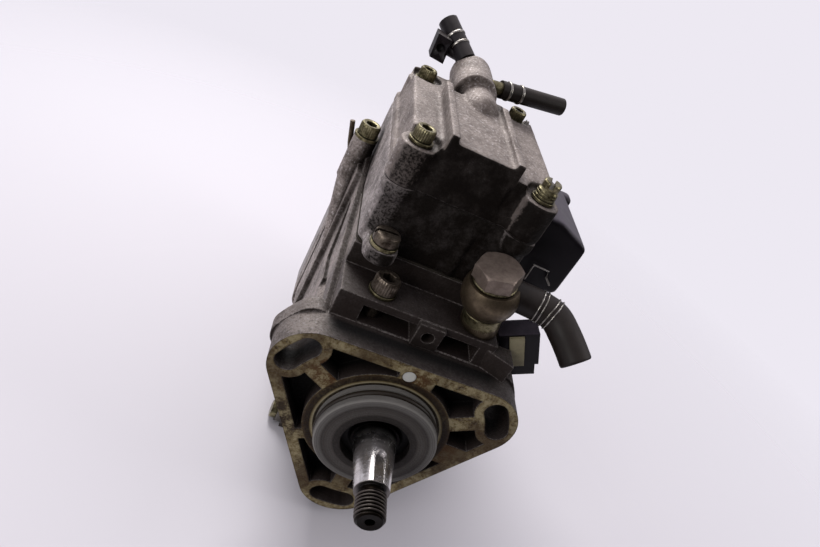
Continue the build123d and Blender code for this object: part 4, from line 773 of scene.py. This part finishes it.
def buildUnion():
    u = union
    eye = bmesh.new()
    heights = [u["ballFrom"] + (u["ballTo"] - u["ballFrom"]) * k / 20 for k in range(21)]
    ball = [(math.sqrt(u["ballRadius"] ** 2 - (h - u["ballMid"]) ** 2), h) for h in heights]
    latheMesh(eye, ball, unionPlace, 72, closeEnds=True)
    start, second = (Vector(point) for point in hoses["inletPath"][:2])
    toSide = Matrix.Translation(start) @ axisFrame(second - start)
    latheMesh(eye, [(u["stubRadius"], 1), (u["stubRadius"], u["stubLength"])], toSide, closeEnds=True)
    placePiece(finishMesh("banjoEyeForged", eye, 30), banjoSteel, "zinc_plated_steel", "banjo_eye")
    bolt = bmesh.new()
    levels = ((u["hexFrom"], u["chamferRadius"]), (u["hexFrom"] + 0.5, 99), (u["hexTo"] - 0.9, 99),
              (u["hexTo"] - 0.45, u["hexRadius"] * 0.945), (u["hexTo"], u["chamferRadius"]))
    rings = [ringOf(bolt, unionPlace, height, lambda a: min(limit, hexRadius(u["hexRadius"], a)), 96)
             for height, limit in levels]
    joinRings(bolt, rings, closeEnds=True)
    placePiece(finishMesh("banjoBoltHead", bolt, 25), boltSteel, "zinc_plated_steel", "banjo_bolt")
    seals = bmesh.new()
    seal = u["ballFrom"] - u["sealHeight"]
    for low, high, radius in zip((seal, u["ballTo"]), (u["ballFrom"], u["hexFrom"]), u["sealRadii"]):
        latheMesh(seals, [(radius - 0.3, low), (radius, low + 0.3), (radius, high - 0.3), (radius - 0.3, high)],
                  unionPlace, 64, closeEnds=True)
    latheMesh(seals, [(u["seatRadius"], u["seatFrom"]), (u["seatRadius"], seal)], unionPlace, 64, closeEnds=True)
    placePiece(finishMesh("banjoSealRings", seals), zincYellow, "zinc_plated_steel", "banjo_washers")


hoses = {
    # points down the middle of the hose, from the union to its mouth
    "inletPath": ((21.9, 22.2, 70.9), (31.6, 21.4, 71.1), (39.5, 19.4, 71.5), (44.8, 16.8, 71.0),
                  (49.3, 12.3, 68.6), (53.2, 8.3, 65.8), (56.4, 4.7, 63.2)),
    "inletRadius": 6.35, "inletBore": 4.5, "boreDepth": 9.0,
    "inletClips": (0.285, 0.425), "clipGap": 0.85, "wire": 0.3,
    "returnStart": (3.0, 106.0, 118.0), "returnDirection": (1, 0.28, 0.08), "returnSlim": 0.84,
    "returnBand": 0.3, "returnRadius": 4.15, "returnPlaces": (4.4, 10.8),
    "teeStart": (-12.0, 128.0, 117.5), "teeDirection": (-0.62, 0.66, 0.42), "teeSlim": 0.83,
    "teeRadius": 4.8, "teePlaces": (8.0, 13.2),
}


def smoothPath(points, steps=12):
    # a Catmull-Rom curve through the points
    path = [Vector(p) for p in points]
    path = [2 * path[0] - path[1], *path, 2 * path[-1] - path[-2]]
    curve = []
    for k in range(1, len(path) - 2):
        a, b, c, d = path[k - 1:k + 3]
        for n in range(steps):
            t = n / steps
            curve.append(0.5 * (2 * b + (c - a) * t + (2 * a - 5 * b + 4 * c - d) * t * t
                                + (3 * b - a - 3 * c + d) * t ** 3))
    return [*curve, path[-2]]


def placesAlong(curve):
    # places on the curve with +Z ahead, which follow it without twisting
    places = []
    side = None
    for i, point in enumerate(curve):
        ahead = (curve[min(i + 1, len(curve) - 1)] - curve[max(i - 1, 0)]).normalized()
        side = ahead.orthogonal().normalized() if side is None else (side - ahead * side.dot(ahead)).normalized()
        place = Matrix((side, ahead.cross(side), ahead)).transposed().to_4x4()
        place.translation = point
        places.append(place)
    return places


def buildInletHose():
    h = hoses
    places = placesAlong(smoothPath(h["inletPath"]))
    last = places[-1]
    outer, bore = h["inletRadius"], h["inletBore"]
    inside = [place for place in places if (place.translation - last.translation).length < h["boreDepth"]][::-1]
    # up the outside, over the rounded mouth and back down the bore: place, height and radius
    steps = [(places[0], 0, bore), (places[0], 0, outer - 0.5), *((place, 0, outer) for place in places[1:-1]),
             (last, 0, outer - 0.12), (last, 0.35, outer - 0.5), (last, 0.4, bore + 0.5), (last, 0, bore),
             *((place, 0, bore) for place in inside[1:])]
    hose = bmesh.new()
    joinRings(hose, [ringOf(hose, place, height, lambda a: radius, 48) for place, height, radius in steps],
              closeEnds=True)
    placePiece(finishMesh("inletHoseMoulded", hose, 50), hoseRubber, "black_rubber", "inlet_hose")
    clips = bmesh.new()
    for share in h["inletClips"]:
        place = places[round(share * (len(places) - 1))]
        ahead = place.col[2].xyz
        for step in (-h["clipGap"], h["clipGap"]):
            torusMesh(clips, place.translation + ahead * step, ahead, outer + 0.2, h["wire"], rows=10)
    placePiece(finishMesh("inletClipWires", clips), springSteel, "spring_steel", "inlet_clips")


def slimCopy(nodeName, name, start, direction, factor):
    # the same piece, thinner across its axis
    piece = copyOfNode(nodeName, name)
    start, along = Vector(start) * mm, Vector(direction).normalized()
    for vertex in piece.data.vertices:
        offset = vertex.co - start
        lengthwise = along * offset.dot(along)
        vertex.co = start + lengthwise + (offset - lengthwise) * factor
    return piece


def buildReturns():
    h = hoses
    hose = slimCopy("return_hose", "returnHoseSlim", h["returnStart"], h["returnDirection"], h["returnSlim"])
    placePiece(hose, hoseRubber, "black_rubber", "return_hose")
    tee = slimCopy("return_tee", "returnTeeSlim", h["teeStart"], h["teeDirection"], h["teeSlim"])
    placePiece(tee, teePlastic, "black_plastic", "return_tee")
    clips = bmesh.new()
    for start, direction, radius, places in (
            (h["returnStart"], h["returnDirection"], h["returnRadius"], h["returnPlaces"]),
            (h["teeStart"], h["teeDirection"], h["teeRadius"], h["teePlaces"])):
        along = Vector(direction).normalized()
        for place in places:
            torusMesh(clips, Vector(start) + along * place, along, radius, h["returnBand"], rows=10, flat=2.2)
    placePiece(finishMesh("returnClipBands", clips), springSteel, "spring_steel", "return_clips")


buildUnion()
buildInletHose()
buildReturns()
print("clips made")

# small parts: the wire bail on the module, its cap and the pin beside the bolt column
smallParts = {
    "bail": ((35.4, 40.4, 69.0), (35.4, 40.4, 76.8), (42.6, 40.4, 76.6), (43.4, 40.4, 73.4), (46.6, 40.4, 70.6)),
    "bailWire": 0.5,
    "pin": ((-45.6, 99.0, 61.0), (-48.4, 100.0, 68.0), (-51.2, 100.6, 78.0)), "pinRadius": 1.2,
    "cap": ((51.6, 89.5, 86.5), (7.5, 8.0, 11.0)), "capRound": 2.6,
    "columnRoot": ((-43.0, 96.0, 56.0), (-39.5, 84.0, 18.0)), "rootRadius": 5.5, "rootTaper": 3.2,
}


def wireAlong(bm, points, radius, rows=10):
    # a round wire through the points, with mitred corners
    path = [Vector(p) for p in points]
    rings = []
    for i, point in enumerate(path):
        before = (point - path[i - 1]).normalized() if i else (path[1] - path[0]).normalized()
        after = (path[i + 1] - point).normalized() if i + 1 < len(path) else before
        turn = axisFrame((before + after).normalized())
        rings.append(ringOf(bm, Matrix.Translation(point) @ turn, 0, lambda a: radius, rows))
    for a, b in zip(rings, rings[1:]):
        shift = min(range(rows), key=lambda k: (b[k].co - a[0].co).length)
        for j in range(rows):
            k = (j + 1) % rows
            bm.faces.new((a[j], a[k], b[(k + shift) % rows], b[(j + shift) % rows]))
    bm.faces.new(rings[0][::-1])
    bm.faces.new(rings[-1])


bm = bmesh.new()
wireAlong(bm, smallParts["bail"], smallParts["bailWire"])
placePiece(finishMesh("moduleBailWire", bm), springSteel, "spring_steel")
bm = bmesh.new()
wireAlong(bm, smallParts["pin"], smallParts["pinRadius"])
placePiece(finishMesh("columnPin", bm), banjoSteel, "turned_steel")
bm = bmesh.new()
centre, size = smallParts["cap"]
addBlock(bm, Matrix.Translation(Vector(centre) * mm), size)
bmesh.ops.bevel(bm, geom=bm.edges, offset=smallParts["capRound"] * mm, segments=5, profile=0.5, affect="EDGES")
placePiece(finishMesh("moduleRearCap", bm), modulePlastic, "black_plastic")
bm = bmesh.new()
top, foot = (Vector(point) for point in smallParts["columnRoot"])
length = (foot - top).length
profile = [(smallParts["rootRadius"] - smallParts["rootTaper"] * (k / 8) ** 1.3, length * k / 8) for k in range(9)]
latheMesh(bm, profile, Matrix.Translation(top) @ axisFrame(foot - top), 40, closeEnds=True)
placePiece(finishMesh("columnRoot", bm), castPump, "cast_aluminium")
print("small parts made")


# floor, light, world and camera
stage = {
    "floorZ": cadBox[0][2], "radius": 1.0, "fadeFrom": 0.20, "fadeTo": 0.55,
    "paper": "#EDE9F2", "floor": "#CAC7CE", "skyFrom": (-0.36, 0.60, 0.72), "darkSide": 0.05, "brightSide": 0.85,
    "lampTarget": (0, 0.06, 0.03), "lampWhite": "#FFFDFB",
    # name, direction, metres away, metres wide, power
    "lamps": (("keyAbove", (-0.34, 0.70, 0.75), 0.75, 0.5, 6.0), ("fillFront", (-0.85, -0.75, 0.35), 0.9, 0.45, 2.6),
              ("edgeRight", (0.9, -0.15, 0.6), 0.8, 0.35, 1.2)),
}


def buildFloor():
    bm = bmesh.new()
    bmesh.ops.create_circle(bm, cap_ends=True, segments=96, radius=stage["radius"],
                            matrix=Matrix.Translation((0, 0.05, stage["floorZ"])))
    floor = finishMesh("floorSheet", bm)
    # matt paper: no shine, and it fades out before its edge shows
    finish, tree, shader, coords = startFinish("matPaper")
    setInputs(tree, shader, {"Base Color": stage["floor"], "Roughness": 0.9})
    distance = addNode(tree, "VectorMath", {0: coords}, operation="LENGTH")
    fade = addNode(tree, "MapRange", {0: distance, 1: stage["fadeFrom"] * 1000, 2: stage["fadeTo"] * 1000})
    clear = addNode(tree, "BsdfTransparent")
    blend = addNode(tree, "MixShader", {0: fade, 1: shader, 2: clear})
    setInputs(tree, next(n for n in tree.nodes if n.type == "OUTPUT_MATERIAL"), {"Surface": blend})
    floor.data.materials.append(finish)


def buildWorld():
    # a pale backdrop that metal shows too, dim where the dark of the room lies in front; soft light from above
    world = bpy.data.worlds.new("paleStudio")
    bpy.context.scene.world = world
    world.use_nodes = True
    tree = world.node_tree
    tree.nodes.clear()
    path = addNode(tree, "LightPath")
    direction = addNode(tree, "TexCoord").outputs["Generated"]
    toward = addNode(tree, "VectorMath", {0: direction, 1: stage["skyFrom"]}, operation="DOT_PRODUCT")
    power = addNode(tree, "MapRange", {0: toward, 1: -0.35, 2: 0.75, 3: stage["darkSide"], 4: stage["brightSide"]})
    ambient = addNode(tree, "Background", {"Color": "#F3F0F6", "Strength": power})
    whole = addNode(tree, "Math", {0: path.outputs["Is Camera Ray"], 1: power}, operation="MAXIMUM")
    paper = addNode(tree, "Background", {"Color": stage["paper"], "Strength": whole})
    seen = addNode(tree, "Math", {0: path.outputs["Is Camera Ray"], 1: path.outputs["Is Glossy Ray"]},
                   operation="ADD")
    seen = addNode(tree, "Math", {0: seen, 1: path.outputs["Is Transmission Ray"]}, operation="ADD", use_clamp=True)
    mixed = addNode(tree, "MixShader", {0: seen, 1: ambient, 2: paper})
    addNode(tree, "OutputWorld", {0: mixed})


def addSoftbox(name, direction, distance, size, energy):
    light = bpy.data.lights.new(name, "AREA")
    setAll(light, {"shape": "DISK", "size": size, "energy": energy, "color": toLinear(stage["lampWhite"])[:3]})
    lamp = linkNew(name, light)
    aim = Vector(direction).normalized()
    lamp.location = Vector(stage["lampTarget"]) + aim * distance
    lamp.rotation_euler = aim.to_track_quat("Z", "Y").to_euler()


view = {"azimuth": -16.32, "elevation": 31.39, "roll": 30.17, "place": (-73.9, -181.8, 191.9),
        "focalPixels": 650.0, "framePixels": 820.0, "sensor": 36.0}


def buildCamera():
    az, el, roll = (math.radians(view[k]) for k in ("azimuth", "elevation", "roll"))
    back = Vector((math.sin(az) * math.cos(el), -math.cos(az) * math.cos(el), math.sin(el)))
    level = (-back).cross(Vector((0, 0, 1))).normalized()
    up = level.cross(-back)
    right = level * math.cos(roll) + up * math.sin(roll)
    tilted = up * math.cos(roll) - level * math.sin(roll)
    camera = linkNew("viewCamera", bpy.data.cameras.new("viewCamera"))
    pose = Matrix((right, tilted, back)).transposed().to_4x4()
    pose.translation = Vector(view["place"]) * mm
    camera.matrix_world = pose
    camera.data.sensor_width = view["sensor"]
    camera.data.lens = view["focalPixels"] / view["framePixels"] * view["sensor"]
    camera.data.clip_start = 0.005
    bpy.context.scene.camera = camera


buildFloor()
buildWorld()
for lamp in stage["lamps"]:
    addSoftbox(*lamp)
buildCamera()
bpy.context.scene.view_settings.view_transform = "Standard"
print("stage made")
